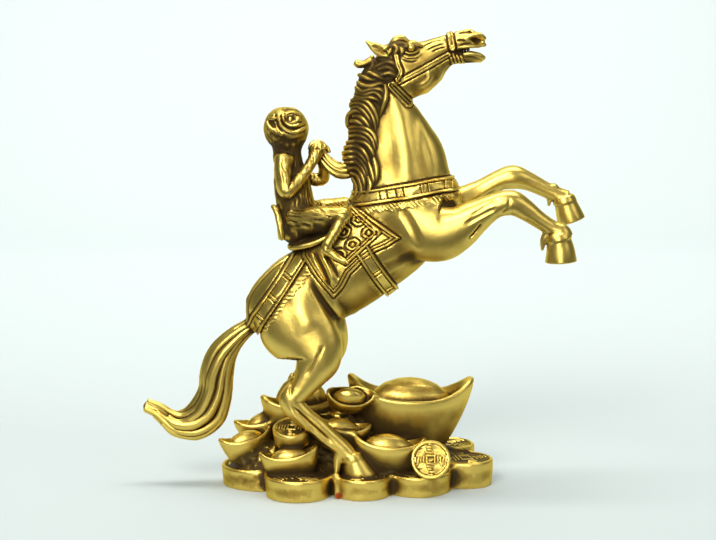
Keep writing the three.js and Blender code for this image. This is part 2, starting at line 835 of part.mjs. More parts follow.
function monkey() {
  const parts = [
    limb(MONKEY_BODY, MONKEY_SIDES, { roundEnd: true }),
    limb(MONKEY_SKULL, MONKEY_SIDES, { roundStart: true, roundEnd: true }),
  ];
  for (const side of [1, -1]) {
    const leg = [MONKEY_THIGH, MONKEY_SHIN, MONKEY_FOOT];
    parts.push(...leg.map((bone) => limb(side > 0 ? bone : mirrored(bone), FINE_SIDES)));
    const earFlap = [
      [-45, -side * 8.5, 200, 3.8, 2.2],
      [-45, -side * 11.6, 200.6, 3.2, 2.6],
    ];
    const brow = [
      [-37.5, -side * 5.5, 206, 1.8, 3.4],
      [-33.5, -side * 3.6, 205.2, 1.8, 3],
    ];
    parts.push(limb(earFlap, FINE_SIDES), limb(brow, FINE_SIDES));
  }
  for (const arm of [MONKEY_NEAR_ARM, MONKEY_FAR_ARM]) {
    parts.push(limb(arm, FINE_SIDES, { roundEnd: true }));
  }
  parts.push(limb(REIN, FINE_SIDES), limb(MONKEY_TAIL, FINE_SIDES));
  return parts;
}

function coinGeometry(radius, thickness) {
  const rim = radius - COIN_RIM_WIDTH;
  const field = thickness - COIN_RIM_RISE;
  const profile = [
    [0, 0],
    [radius * COIN_FOOT_SHARE, 0],
    [radius, thickness],
    [rim, thickness],
    [rim, field],
    [0, field],
  ];
  const geometry = new THREE.LatheGeometry(profile.map(([r, z]) => new THREE.Vector2(r, z)), COIN_SIDES);
  return geometry.rotateX(Math.PI / 2);
}

// Raised marks on a coin's face: the square in the middle and plain strokes on each side of it.
function coinMarks(radius, field) {
  const half = radius * COIN_SQUARE_SHARE;
  const bar = Math.max(LEAST_BAR, radius * BAR_SHARE);
  const marks = [];
  const stroke = (x, y, length, turn) => {
    const geometry = new THREE.BoxGeometry(length, bar, 2 * COIN_RIM_RISE);
    marks.push(geometry.rotateZ(turn).translate(x, y, field));
  };
  for (let quarter = 0; quarter < 4; quarter += 1) {
    const turn = (quarter * Math.PI) / 2;
    const [c, s] = [Math.cos(turn), Math.sin(turn)];
    stroke(half * c, half * s, 2 * half + bar, turn + Math.PI / 2);
    for (const [out, along, length, lean] of COIN_STROKES) {
      const x = radius * (out * c - along * s);
      const y = radius * (out * s + along * c);
      stroke(x, y, radius * length, turn + lean * Math.PI);
    }
  }
  return marks;
}

function basePoint(u, v, z) {
  return [(u * BASE_LENGTH) / 2, (v * BASE_DEPTH) / 2, z];
}

function standingCoin({ u, v, lift, radius, thickness, lean, turn }, marked) {
  const pieces = [coinGeometry(radius, thickness)];
  if (marked) {
    pieces.push(...coinMarks(radius, thickness - COIN_RIM_RISE));
  }
  const spot = basePoint(u, v, FOOTING + lift);
  return pieces.map((piece) => {
    piece.rotateX(lean * DEGREE).rotateZ(turn * DEGREE);
    return toSolid(piece.translate(...spot));
  });
}

function ingot([u, v, lift, lengthShare, turn, tilt, dome], fullLength) {
  const length = fullLength * lengthShare;
  const depth = length * INGOT_DEPTH_SHARE;
  const height = length * INGOT_HEIGHT_SHARE;
  const rise = length * INGOT_TIP_SHARE;
  const TIP_SHARPNESS = 4;
  const domeRings = DOME_RINGS.map(([a, b, way]) => [a, b, DECK_SHARE + way * (dome - DECK_SHARE), 0]);
  const rings = [...INGOT_RINGS, ...domeRings].map(([a, b, level, tip]) =>
    Array.from({ length: INGOT_SIDES }, (_, k) => {
      const angle = (2 * Math.PI * k) / INGOT_SIDES;
      const lifted = rise * tip * Math.cos(angle) ** TIP_SHARPNESS;
      const [x, y] = [a * length * Math.cos(angle), b * depth * Math.sin(angle)];
      return new THREE.Vector3(x, y, level * height + lifted);
    }),
  );
  const geometry = skin(rings, new THREE.Vector3(), new THREE.Vector3(0, 0, height * dome));
  geometry.rotateY(tilt * DEGREE).rotateZ(turn * DEGREE);
  return toSolid(geometry.translate(...basePoint(u, v, FOOTING + lift)));
}

function heap([u, v, halfLength, halfDepth, height]) {
  const [x, y] = basePoint(u, v, 0);
  const [a, b] = basePoint(halfLength, halfDepth, 0);
  const rings = HEAP_RINGS.map(([share, level]) =>
    Array.from({ length: HEAP_SIDES }, (_, k) => {
      const angle = (2 * Math.PI * k) / HEAP_SIDES;
      const z = level * (FOOTING + height);
      return new THREE.Vector3(x + a * share * Math.cos(angle), y + b * share * Math.sin(angle), z);
    }),
  );
  const crown = new THREE.Vector3(x, y, FOOTING + height * HEAP_CROWN);
  return toSolid(skin(rings, new THREE.Vector3(x, y, 0), crown));
}

function base() {
  const parts = HEAPS.map(heap);
  const coins = FLAT_COINS.map(([u, v, radius, share]) => [...basePoint(u, v, 0), radius, share]);
  const [hoofX, hoofY] = NEAR_HIND_HOOF[NEAR_HIND_HOOF.length - 1];
  coins.push([hoofX * SCALE, hoofY * SCALE, 0, HOOF_COIN_RADIUS, 1]);
  coins.push([(hoofX + FAR_HIND_SHIFT) * SCALE, -hoofY * SCALE, 0, HOOF_COIN_RADIUS, 1]);
  for (const [x, y, z, radius, share] of coins) {
    parts.push(toSolid(coinGeometry(radius, COIN_THICKNESS * share).translate(x, y, z)));
  }
  parts.push(...SMALL_INGOTS.map((row) => ingot(row, SMALL_INGOT_LENGTH)));
  parts.push(ingot(LARGE_INGOT, LARGE_INGOT_LENGTH));
  parts.push(...standingCoin(LEANING_COIN, true), ...standingCoin(TILTED_COIN, false));
  return parts;
}

const casting = join([
  bodyShell(0),
  ...legs(),
  tail(),
  ...mane(),
  ...head(),
  ...bridle(),
  ...harness(),
  ...saddle(),
  ...monkey(),
  ...base(),
]);

const geometry = simplified(withoutHollows(toGeometry(casting)), SURFACE_TOLERANCE);
geometry.computeVertexNormals();
const figure = new THREE.Group();
const mesh = new THREE.Mesh(geometry, new THREE.MeshStandardMaterial(BRASS));
mesh.name = "monkey_on_horse_casting";
figure.add(mesh);

export default figure;
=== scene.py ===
"""A cast brass ornament, sculpted as one skin: a monkey rides a rearing horse over coins and ingots.

The forms are drawn in millimetres at the figure's own height: x forward, y away, z up from the coin
that the hooves stand on. Each form is a distance field, and the skin is where their union is zero.
"""
import itertools
import math
from concurrent.futures import ThreadPoolExecutor

import bpy
import numpy as np
import openvdb
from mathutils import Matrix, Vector


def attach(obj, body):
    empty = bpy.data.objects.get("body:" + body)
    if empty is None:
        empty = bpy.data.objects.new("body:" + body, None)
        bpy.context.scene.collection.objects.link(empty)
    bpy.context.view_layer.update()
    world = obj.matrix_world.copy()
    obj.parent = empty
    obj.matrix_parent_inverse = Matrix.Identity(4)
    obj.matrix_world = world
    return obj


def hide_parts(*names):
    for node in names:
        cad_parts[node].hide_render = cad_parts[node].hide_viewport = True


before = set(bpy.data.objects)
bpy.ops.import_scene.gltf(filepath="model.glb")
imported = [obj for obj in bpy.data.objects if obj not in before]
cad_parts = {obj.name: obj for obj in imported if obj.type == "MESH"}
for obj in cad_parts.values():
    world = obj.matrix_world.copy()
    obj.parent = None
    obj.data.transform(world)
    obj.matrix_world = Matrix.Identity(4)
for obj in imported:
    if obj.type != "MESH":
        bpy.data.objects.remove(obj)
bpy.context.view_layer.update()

NODE = "monkey_on_horse_casting"
MM = 0.001
COIN_THICKNESS = 12.0
BASE_LENGTH = 163.0
BASE_DEPTH = 96.0
LARGE_INGOT_LENGTH = 76.0
SMALL_INGOT_LENGTH = 38.0
MOST_TRIANGLES = 196000
VOXEL = 0.42
FAR = 8.0
LATTICE_WIDTH = 32

rng = np.random.default_rng(7)


# Fields

def smooth_union(a, b, blend):
    """The union of two fields, filleted where they meet."""
    near = np.maximum(blend - np.abs(a - b), 0) / blend
    return np.minimum(a, b) - near * near * (blend / 4)


def smooth_cut(a, b, blend):
    """What two fields share, with the edge rounded."""
    return -smooth_union(-a, -b, blend)


def step(low, high, value):
    """From 0 to 1 as the value goes from low to high, without a kink."""
    share = np.clip((value - low) / (high - low), 0, 1)
    return share * share * (3 - 2 * share)


def bump(value):
    """One at zero, falling to nothing at plus and minus one."""
    return np.maximum(1 - value * value, 0) ** 2


def spline(stations, spacing):
    """Points at about the given spacing on a Catmull-Rom curve through the stations, all columns alike."""
    rows = np.asarray(stations, dtype=float)
    ends = np.vstack([2 * rows[0] - rows[1], rows, 2 * rows[-1] - rows[-2]])
    out = []
    for a, b, c, d in zip(ends[:-3], ends[1:-2], ends[2:-1], ends[3:]):
        steps = max(2, int(math.ceil(np.linalg.norm((c - b)[:3]) / spacing)))
        t = (np.arange(steps) / steps)[:, None]
        curve = 2 * b + (c - a) * t + (2 * a - 5 * b + 4 * c - d) * t**2
        out.append(0.5 * (curve + (3 * b - a - 3 * c + d) * t**3))
    out.append(rows[-1:])
    return np.vstack(out)


LATTICE = rng.random([LATTICE_WIDTH] * 3).astype(np.float32) * 2 - 1


def blended(t, value_at):
    """The values at the eight corners round each point, weighted by its place t between them."""
    total = 0.0
    for i in (0, 1):
        for j in (0, 1):
            for k in (0, 1):
                weight = (t[:, 0] if i else 1 - t[:, 0]) * (t[:, 1] if j else 1 - t[:, 1])
                weight = weight * (t[:, 2] if k else 1 - t[:, 2])
                total = total + weight * value_at((i, j, k))
    return total


def noise(p, size):
    """Smooth noise between -1 and 1 with lumps of about the given size."""
    q = p / size
    cell = np.floor(q).astype(int)
    t = q - cell
    return blended(t * t * (3 - 2 * t), lambda corner: LATTICE[tuple(((cell + corner) % LATTICE_WIDTH).T)])


class Limb:
    """An elliptical form along a curve. Columns: x, y, z, half depth seen from the side, half width."""

    def __init__(self, stations, blend=1.5, cap=0.35, across=(0, 1, 0), flute=None):
        self.blend = blend
        self.flute = flute
        self.cap = cap
        rows = np.asarray(stations, dtype=float)
        rows = spline(rows, max(0.15 * float(np.mean(rows[:, 3:5])), 0.6))
        self.middle = rows[:, :3]
        self.size = np.maximum(rows[:, 3:5], 0.2)
        ahead = np.gradient(self.middle, axis=0)
        self.ahead = ahead / np.linalg.norm(ahead, axis=1, keepdims=True)
        across = np.asarray(across, dtype=float)
        wide = across - self.ahead * (self.ahead @ across)[:, None]
        self.wide = wide / np.linalg.norm(wide, axis=1, keepdims=True)
        self.deep = np.cross(self.wide, self.ahead)
        reach = self.size.max(axis=1, keepdims=True) * 1.1
        self.low = (self.middle - reach).min(axis=0)
        self.high = (self.middle + reach).max(axis=0)
        gaps = np.linalg.norm(np.diff(self.middle, axis=0), axis=1)
        self.along = np.concatenate([[0], np.cumsum(gaps)])
        self.square = (self.middle**2).sum(axis=1)

    def distance(self, p):
        nearest = (self.square[None, :] - 2 * p @ self.middle.T).argmin(axis=1)
        forward = ((p - self.middle[nearest]) * self.ahead[nearest]).sum(axis=1) > 0
        a = np.clip(np.where(forward, nearest, nearest - 1), 0, len(self.middle) - 2)
        b = a + 1
        from_a = ((p - self.middle[a]) * self.ahead[a]).sum(axis=1)
        to_b = ((self.middle[b] - p) * self.ahead[b]).sum(axis=1)
        ended = ((a == 0) & (from_a < 0)) | ((b == len(self.middle) - 1) & (to_b < 0))
        from_a, to_b = np.maximum(from_a, 0), np.maximum(to_b, 0)
        t = (from_a / np.maximum(from_a + to_b, 1e-6))[:, None]
        offset = p - (self.middle[a] + t * (self.middle[b] - self.middle[a]))
        size = self.size[a] + t * (self.size[b] - self.size[a])
        deep = (offset * (self.deep[a] + t * (self.deep[b] - self.deep[a]))).sum(axis=1)
        wide = (offset * (self.wide[a] + t * (self.wide[b] - self.wide[a]))).sum(axis=1)
        past = (offset * (self.ahead[a] + t * (self.ahead[b] - self.ahead[a]))).sum(axis=1) * ended
        depth, width = size[:, 0], size[:, 1]
        if self.flute is not None:
            along = self.along[a] + t[:, 0] * (self.along[b] - self.along[a])
            share = self.flute(np.arctan2(wide / width, deep / depth), along / self.along[-1])
            depth, width = depth * share, width * share
        end = np.minimum(depth, width) * self.cap
        k0 = np.sqrt((deep / depth) ** 2 + (wide / width) ** 2 + (past / end) ** 2)
        k1 = np.sqrt((deep / depth**2) ** 2 + (wide / width**2) ** 2 + (past / end**2) ** 2)
        return k0 * (k0 - 1) / np.maximum(k1, 1e-6)


class Group:
    """Forms joined one after another, then raised or cut by reliefs."""

    def __init__(self, members, reliefs=(), blend=1.0):
        self.members = members
        self.reliefs = reliefs
        self.blend = blend
        self.lows = np.array([m.low for m in members])
        self.highs = np.array([m.high for m in members])
        self.low = self.lows.min(axis=0)
        self.high = self.highs.max(axis=0)

    def distance(self, p):
        low, high = p.min(axis=0) - FAR, p.max(axis=0) + FAR
        d = np.full(len(p), FAR)
        for k in np.flatnonzero(((self.lows < high) & (self.highs > low)).all(axis=1)):
            member = self.members[k]
            d = smooth_union(d, np.minimum(member.distance(p), FAR), member.blend)
        if not self.reliefs:
            return d
        near = np.flatnonzero(np.abs(d) < 5)
        q = p[near]
        height = np.zeros(len(q))
        for relief in self.reliefs:
            inside = (q[:, 0] > relief.low[0]) & (q[:, 0] < relief.high[0])
            inside = np.flatnonzero(inside & (q[:, 2] > relief.low[1]) & (q[:, 2] < relief.high[1]))
            if len(inside):
                spots = q[inside]
                if relief.covers:
                    height[inside] *= 1 - relief.cover(spots)
                height[inside] += relief.height(spots)
        d[near] -= height
        return d


def sided(stations, side=-1, shift=0.0):
    """The stations as drawn, or mirrored to the other flank with a side of -1, and shifted along x."""
    return [[x + shift, side * y, z, *size] for x, y, z, *size in stations]


# Reliefs, all drawn in side view and worked on both flanks

def track(p, line):
    """How far points lie off a line in side view, left positive, how far along it, and its length."""
    corners = np.asarray(line, dtype=float)
    run = np.diff(corners, axis=0)
    length = np.hypot(run[:, 0], run[:, 1])
    start = np.concatenate([[0], np.cumsum(length)])
    x = p[:, 0, None] - corners[:-1, 0]
    z = p[:, 2, None] - corners[:-1, 1]
    t = np.clip((x * run[:, 0] + z * run[:, 1]) / length**2, 0, 1)
    away = (x - t * run[:, 0]) ** 2 + (z - t * run[:, 1]) ** 2
    k = away.argmin(axis=1)
    rows = np.arange(len(p))
    side = run[k, 0] * z[rows, k] - run[k, 1] * x[rows, k]
    off = np.copysign(np.sqrt(away[rows, k]), side)
    return off, start[k] + t[rows, k] * length[k], start[-1]


class Relief:
    """A height over the form below it, worked along a line in side view."""

    covers = False

    def __init__(self, line, half, rise):
        corners = np.asarray(line, dtype=float)
        if len(corners) > 2:
            length = np.linalg.norm(np.diff(corners, axis=0), axis=1).sum()
            corners = spline(corners, max(length / 8, 1.2))
        self.line = corners.tolist()
        self.half = half
        self.rise = rise
        self.low = corners.min(axis=0) - 1.1 * half - 1.5
        self.high = corners.max(axis=0) + 1.1 * half + 1.5


class Ridge(Relief):
    """A rounded ridge, or a groove where the rise is negative, that fades at both ends."""

    def height(self, p):
        off, along, length = track(p, self.line)
        ends = step(0, 0.25 * length, along) * step(length, 0.75 * length, along)
        return self.rise * bump(off / self.half) * ends


class Strap(Relief):
    """A flat band with two rails, crossed by pairs of bars at the given ways along it."""

    covers = True

    def __init__(self, line, half, rise, bars=(), bar_gap=2.2):
        super().__init__(line, half, rise)
        self.bars = bars
        self.bar_gap = bar_gap

    def cover(self, p):
        off, _, _ = track(p, self.line)
        return step(self.half + 0.3, self.half - 0.3, np.abs(off))

    def height(self, p):
        off, along, length = track(p, self.line)
        edge = np.abs(off)
        flat = step(self.half + 0.3, self.half - 0.3, edge)
        rail = 0.35 * bump((edge - self.half + 0.6) / 0.7) - 0.45 * bump((edge - self.half + 1.75) / 0.7)
        bar = 0.0
        for place in self.bars:
            for way in (-0.5, 0.5):
                off_bar = along - place - way * self.bar_gap
                bar = bar + 0.3 * bump((off_bar - 0.7) / 0.7) - 0.55 * bump(off_bar / 0.7)
        groove = 0.5 * bump((edge - self.half - 0.6) / 0.8)
        inside = step(self.half - 1.4, self.half - 2.0, edge) if self.half > 2.4 else 0.0
        return self.rise * flat + rail * flat * min(1.0, self.half / 2.4) + bar * inside - groove


class Fringe(Relief):
    """Slanted tassels side by side under a strap."""

    def __init__(self, line, half, rise, pitch, slant):
        super().__init__(line, half, rise)
        self.pitch = pitch
        self.slant = slant

    def height(self, p):
        off, along, length = track(p, self.line)
        turn = along / self.pitch + self.slant * off / self.half
        wave = 0.5 + 0.5 * np.cos(2 * math.pi * turn)
        ragged = self.half * (0.8 + 0.2 * np.sin(2.1 * along / self.pitch))
        within = step(ragged + 0.5, ragged - 0.7, np.abs(off))
        return within * (0.25 + (self.rise - 0.25) * wave)


class Patch:
    """A flat cloth with a raised border, bounded by a closed outline in side view."""

    covers = True

    def __init__(self, outline, rise, borders=()):
        self.outline = [*outline, outline[0]]
        self.rise = rise
        self.borders = borders
        corners = np.asarray(outline, dtype=float)
        self.low = corners.min(axis=0) - 3
        self.high = corners.max(axis=0) + 3

    def inset(self, p):
        """How far inside the outline points lie, negative outside."""
        off, _, _ = track(p, self.outline)
        x, z = p[:, 0], p[:, 2]
        inside = np.zeros(len(p), dtype=bool)
        for (ax, az), (bx, bz) in zip(self.outline[:-1], self.outline[1:]):
            crosses = (az > z) != (bz > z)
            inside ^= crosses & (x < (bx - ax) * (z - az) / (bz - az + 1e-9) + ax)
        return np.where(inside, np.abs(off), -np.abs(off))

    def cover(self, p):
        return step(-0.35, 0.35, self.inset(p))

    def height(self, p):
        depth = self.inset(p)
        height = self.rise * step(-0.35, 0.35, depth) - 0.5 * bump((depth + 0.7) / 0.9)
        for at in self.borders:
            line = 0.3 * bump((depth - at + 0.7) / 0.7) - 0.6 * bump((depth - at) / 0.65)
            height = height + line * (depth > 0)
        return height


class Lozenge:
    """A frame with flat top and bottom and pointed sides, with a round stud in the middle."""

    covers = False

    def __init__(self, x, z, half=2.9, turn=0.3):
        self.x, self.z, self.half = x, z, half
        self.c, self.s = math.cos(turn), math.sin(turn)
        self.low = np.array([x - half - 2, z - half - 2])
        self.high = np.array([x + half + 2, z + half + 2])

    def height(self, p):
        x, z = p[:, 0] - self.x, p[:, 2] - self.z
        u, v = x * self.c + z * self.s, z * self.c - x * self.s
        square = ((0.8 * np.abs(u) + 0.55 * np.abs(v)) ** 6 + (1.1 * np.abs(v)) ** 6) ** (1 / 6)
        inside = step(self.half - 0.5, self.half - 1.2, square)
        stud = np.sqrt(np.maximum(1 - (u * u + v * v) / 1.3**2, 0))
        rim = 0.45 * bump((square - self.half) / 0.9) - 0.55 * bump((square - self.half - 1.2) / 0.9)
        return rim - 0.5 * inside + 1.2 * stud


# The horse

TORSO = [[-57.5, 0, 84.5, 9.5, 8], [-51, 0, 94, 16, 14], [-39, 0, 101.5, 21, 19], [-25, 0, 107.5, 24, 21],
         [-9.5, 0, 117, 26, 22.5], [5, 0, 129, 27.5, 23], [19.5, 0, 141.5, 28, 22], [31.5, 0, 151, 24.5, 19],
         [44, 0, 157.5, 17.5, 15], [53, 0, 161.5, 11.5, 12]]
NECK = [[26, 0, 155.5, 27.5, 20], [25.5, 0, 170, 27.5, 16.5], [24, 0, 182, 26.5, 14],
        [20.5, 0, 193.5, 23, 12.5], [17.5, 0, 204, 20, 10.5], [15, 0, 213.5, 16.5, 9.5],
        [14.5, 0, 223, 15.3, 9], [16, 0, 232, 13, 8]]
SKULL = [[14, 0, 236, 8, 6], [20, 0, 236.5, 13, 8], [27, 0, 235.5, 14.5, 8.5], [37, 0, 239.5, 11.8, 7.2],
         [45, 0, 244.8, 8.8, 6], [52, 0, 248.2, 7, 5.4], [59, 0, 251.2, 5.8, 5], [65.5, 0, 252.2, 5, 5],
         [71, 0, 250.8, 3.2, 3.8]]
JAW = [[35, 0, 229.8, 9.6, 6], [45.5, 0, 236.4, 6.4, 4.9], [53, 0, 240.4, 3.6, 3.8], [60, 0, 241.3, 2.7, 3.4],
       [67, 0, 241.2, 2.3, 3], [71, 0, 240.8, 1.4, 2.4]]
NEAR_FORELEG = [[27, -13, 157.5, 15, 11], [38, -16, 145.5, 18.8, 12], [47.5, -18, 141.8, 17, 11.5],
                [57.5, -20, 145, 13.5, 9.5], [68.5, -21, 152, 9.7, 8], [78.5, -22, 157.8, 7.3, 6.5],
                [88, -22, 159.6, 7.3, 6.5], [95.5, -22, 156, 6.2, 5.3], [103.5, -22, 150.2, 5, 4.5],
                [111.5, -22, 145, 4.7, 4.2], [117, -22, 142.5, 5.3, 4.7], [119.3, -22, 139.5, 5, 4.7]]
NEAR_FORE_HOOF = [[115.5, -22, 139.6, 6.8, 6.2], [116.8, -22, 132, 8.2, 7.6], [117.2, -22, 125.6, 9.2, 8.2]]
FAR_FORELEG = [[34, 13, 143.5, 15, 11], [48.5, 17, 149, 14, 10.5], [62, 19, 155.4, 9.4, 8.2],
               [72.5, 20, 160.6, 7.3, 6.5], [83, 20, 167.2, 6.2, 6], [92, 20, 169.6, 7.1, 6.5],
               [101, 20, 167.2, 5.6, 5], [111, 20, 162.4, 4.7, 4.4], [119, 20, 158.8, 4.7, 4.4],
               [123, 20, 157, 5.3, 4.7]]
FAR_FORE_HOOF = [[122.8, 20, 156, 6.2, 5.8], [125.2, 20, 149, 7.6, 7.1], [127, 20, 143.6, 8.5, 7.6]]
NEAR_HIND_LEG = [[-45, -10, 102, 17, 9.5], [-36, -14, 87.5, 23, 12], [-27, -17, 75.5, 19, 11],
                 [-24, -19.5, 67, 14.2, 9.4], [-27.5, -21.5, 59, 10, 7.1], [-33.5, -23, 50.4, 7.2, 5.6],
                 [-39, -24, 43.5, 7, 5.3], [-32, -24.5, 34.7, 6.2, 4.7], [-24, -25, 28.9, 5.6, 4.4],
                 [-16.3, -25, 21.7, 5.3, 4.4], [-9.3, -25, 15.4, 5.3, 4.7], [-4.5, -25, 10.6, 4.9, 4.7]]
NEAR_HIND_HOOF = [[-3.5, -25, 10.2, 5.8, 5.4], [-1.2, -25, 4.6, 8, 7.1], [0.6, -25, -0.6, 10, 8.4],
                  [2.6, -25, -5, 10.4, 8.8]]
FAR_HIND_SHIFT = 3
SHEATH = [[-9, 0, 97.5, 4, 4.4], [-3, 0, 95, 4.2, 4.4]]


# The near ear is a pricked leaf from its root to its tip, and the far one folds forward
EARS = {-1: [[19.5, 4.8, 241.5, 2.4, 2.6], [15.5, 5.6, 244.4, 3.5, 2.6], [10.5, 6.4, 247.2, 3.2, 2],
             [4.9, 6.8, 251, 0.8, 0.8]],
        1: [[19.5, 3.6, 245.5, 3.2, 3], [22.4, 4, 250.4, 3.4, 2.6], [25.6, 4.2, 252.2, 2.3, 2],
            [29.2, 4, 250.6, 1, 1]]}
BROW = [[27.6, 5.6, 248.6, 1.2, 1.3], [31, 6.2, 250.4, 1.3, 1.6], [36.5, 5.2, 248.8, 0.9, 1.1]]
EYE = [[30, 7, 247.6, 1.9, 1.6], [31.4, 7, 247.6, 1.9, 1.6]]
NOSTRIL = [[62.2, 4, 252.6, 1.1, 1.1], [65.5, 4.4, 254.6, 1.2, 1.2], [70.5, 4.2, 254.8, 1.2, 1.2],
           [73.2, 3.2, 252.8, 1, 1.1]]
UPPER_LIP = [[57, 3.8, 247.4, 1.1, 1.1], [63.5, 4.2, 248.2, 1.1, 1.2], [69.5, 3.7, 248.4, 1.1, 1.2],
             [73.2, 2, 249, 1.2, 1.2]]
BIT_RING = [[54, 5.4, 246.9, 1.8, 1.5], [55, 5.4, 246.9, 1.8, 1.5]]
CHEEK_STUD = [[20.6, 8.6, 228, 1.7, 1.5], [21.4, 8.6, 228, 1.7, 1.5]]
LOWER_LIP = [[61.4, 3.2, 243.6, 1.2, 1.1], [66, 3.4, 243.9, 1.4, 1.3], [70.4, 2.6, 242.8, 1.5, 1.5],
             [72.4, 1, 241.4, 1.6, 1.6]]
TONGUE = [[54, 0, 243.9, 1, 2.2], [62, 0, 244.4, 0.9, 2], [67, 0, 244.4, 0.7, 1.4]]


def head_parts():
    """Throat and chin, then ears, brows, eyes, nostrils, lips, bit rings, studs, teeth and tongue."""
    parts = [Limb([[29, 0, 228, 10.6, 7.8], [36.5, 0, 230.4, 9.3, 6.8], [43.5, 0, 234.4, 7.6, 5.4]], 3, 0.9),
             Limb([[60, 0, 241.6, 3.2, 3.8], [66, 0, 241.9, 3.1, 3.6], [70.8, 0, 241, 2.4, 3]], 1, 0.8)]
    for side in (-1, 1):
        for form, blend in ((EARS[side], 0.9), (BROW, 1.0), (EYE, 0.2), (NOSTRIL, 0.7), (UPPER_LIP, 0.8),
                            (BIT_RING, 0.3), (CHEEK_STUD, 0.3)):
            parts.append(Limb(sided(form, side), blend, 0.8))
    for side in (-1, 1):
        parts.append(Limb(sided(LOWER_LIP, side), 0.8, 0.8))
        for x in (61.8, 63.7):
            tooth = [[x, 2.6, 247.2, 0.9, 0.9], [x, 2.6, 245.8, 0.8, 0.8]]
            parts.append(Limb(sided(tooth, side), 0.2, 0.8))
    parts.append(Limb(TONGUE, 0.5, 0.8))
    return parts


def horse_reliefs():
    """Muscles, veins, wrinkles and the folds of the skin."""
    lines = [
        ([[20, 232], [25.5, 211], [27.5, 192], [28.5, 162]], 9, 1.4),
        ([[36, 210], [43, 194], [51, 168]], 9, 0.7),
        ([[30, 212], [35, 194], [41, 168]], 6, -0.6),
        ([[12, 228], [15, 200], [21, 166]], 7, -0.4),
        ([[-29.5, 118], [-24, 107], [-17.5, 97], [-12, 88], [-8.5, 77]], 3.2, -1.5),
        ([[-25, 117], [-18, 105], [-11.5, 95], [-7, 86]], 4.2, 0.9),
        ([[-36, 114], [-33, 99], [-27, 84]], 9, 1.0),
        ([[24, 158], [31, 146], [37, 133]], 4, -0.8),
        ([[38, 165], [52, 158], [60, 156]], 3, -0.7),
        ([[12, 121], [24, 125], [35, 131]], 4, -0.6),
        ([[63, 139], [67.5, 144], [71, 149]], 1.2, -1.1),
        ([[60, 147.5], [71, 153.5], [80, 158]], 2.0, -0.8),
        ([[82, 153.5], [86, 158.5], [87, 164]], 1.6, -0.5),
        ([[94, 152], [103, 146.4], [110, 141.6]], 1.4, -0.5),
        ([[62, 151], [74, 158.4], [84, 164.4]], 1.8, -0.6),
        ([[-19, 78], [-25, 68], [-31, 58]], 1.6, -0.7),
        ([[-34.5, 62], [-38.5, 53], [-39.5, 46]], 1.6, -0.9),
        ([[-42, 42], [-34, 33], [-22, 22], [-13, 14]], 1.9, 1.1),
        ([[-40, 44], [-29, 33.2], [-13, 18.5]], 1.5, -1.4),
        ([[36, 240], [41.4, 233.5], [40.4, 228], [33, 223.6]], 2.6, 0.6),
        ([[43, 240], [46, 233.5], [44, 227]], 2.2, -0.4),
        ([[25.6, 246.4], [28.6, 244.6], [32.6, 244.8], [35.6, 246.8]], 0.8, 0.7),
        ([[24.8, 244.2], [28.6, 242.2], [33.6, 242.4], [37.4, 244.6]], 0.8, 0.6),
        ([[25, 245.4], [28.6, 243.4], [33, 243.6], [36.6, 245.8]], 0.7, -0.6),
        ([[24, 241.6], [30, 239.6], [35, 240.4]], 0.9, -0.4),
        ([[36, 250.4], [43, 252.6], [50, 254.4]], 0.9, -0.55),
        ([[37, 247.8], [43, 250.6], [50.5, 252.3]], 0.85, -0.55),
        ([[39, 245.8], [45, 248.6], [51, 250.2]], 0.85, -0.55),
        ([[42, 244.9], [46.5, 247], [51.3, 248.2]], 0.85, -0.5),
        ([[55.7, 257.1], [58.3, 258.3], [63.6, 258.1], [68.1, 256.8]], 1.4, 0.7),
        ([[56.5, 255], [61, 256], [67, 256.4]], 1.0, -0.7),
        ([[56.5, 251.4], [59.5, 252], [62, 251]], 1.0, -0.6),
    ]
    reliefs = [Ridge(line, half, rise) for line, half, rise in lines]
    reliefs.append(Hollow([68.4, 251.6], [4.8, 2.3], 3.2, -0.2))
    reliefs.append(Hollow([12.6, 246.4], [6.4, 2.3], 2.2, -0.5))
    return reliefs


class Hollow:
    """An oval pit, seen from the side."""

    covers = False

    def __init__(self, middle, half, depth, turn=0.0):
        self.middle = middle
        self.half = half
        self.depth = depth
        self.c, self.s = math.cos(turn), math.sin(turn)
        self.low = np.array(middle) - max(half)
        self.high = np.array(middle) + max(half)

    def height(self, p):
        x, z = p[:, 0] - self.middle[0], p[:, 2] - self.middle[1]
        u = (x * self.c + z * self.s) / self.half[0]
        v = (z * self.c - x * self.s) / self.half[1]
        return -self.depth * bump(np.hypot(u, v))


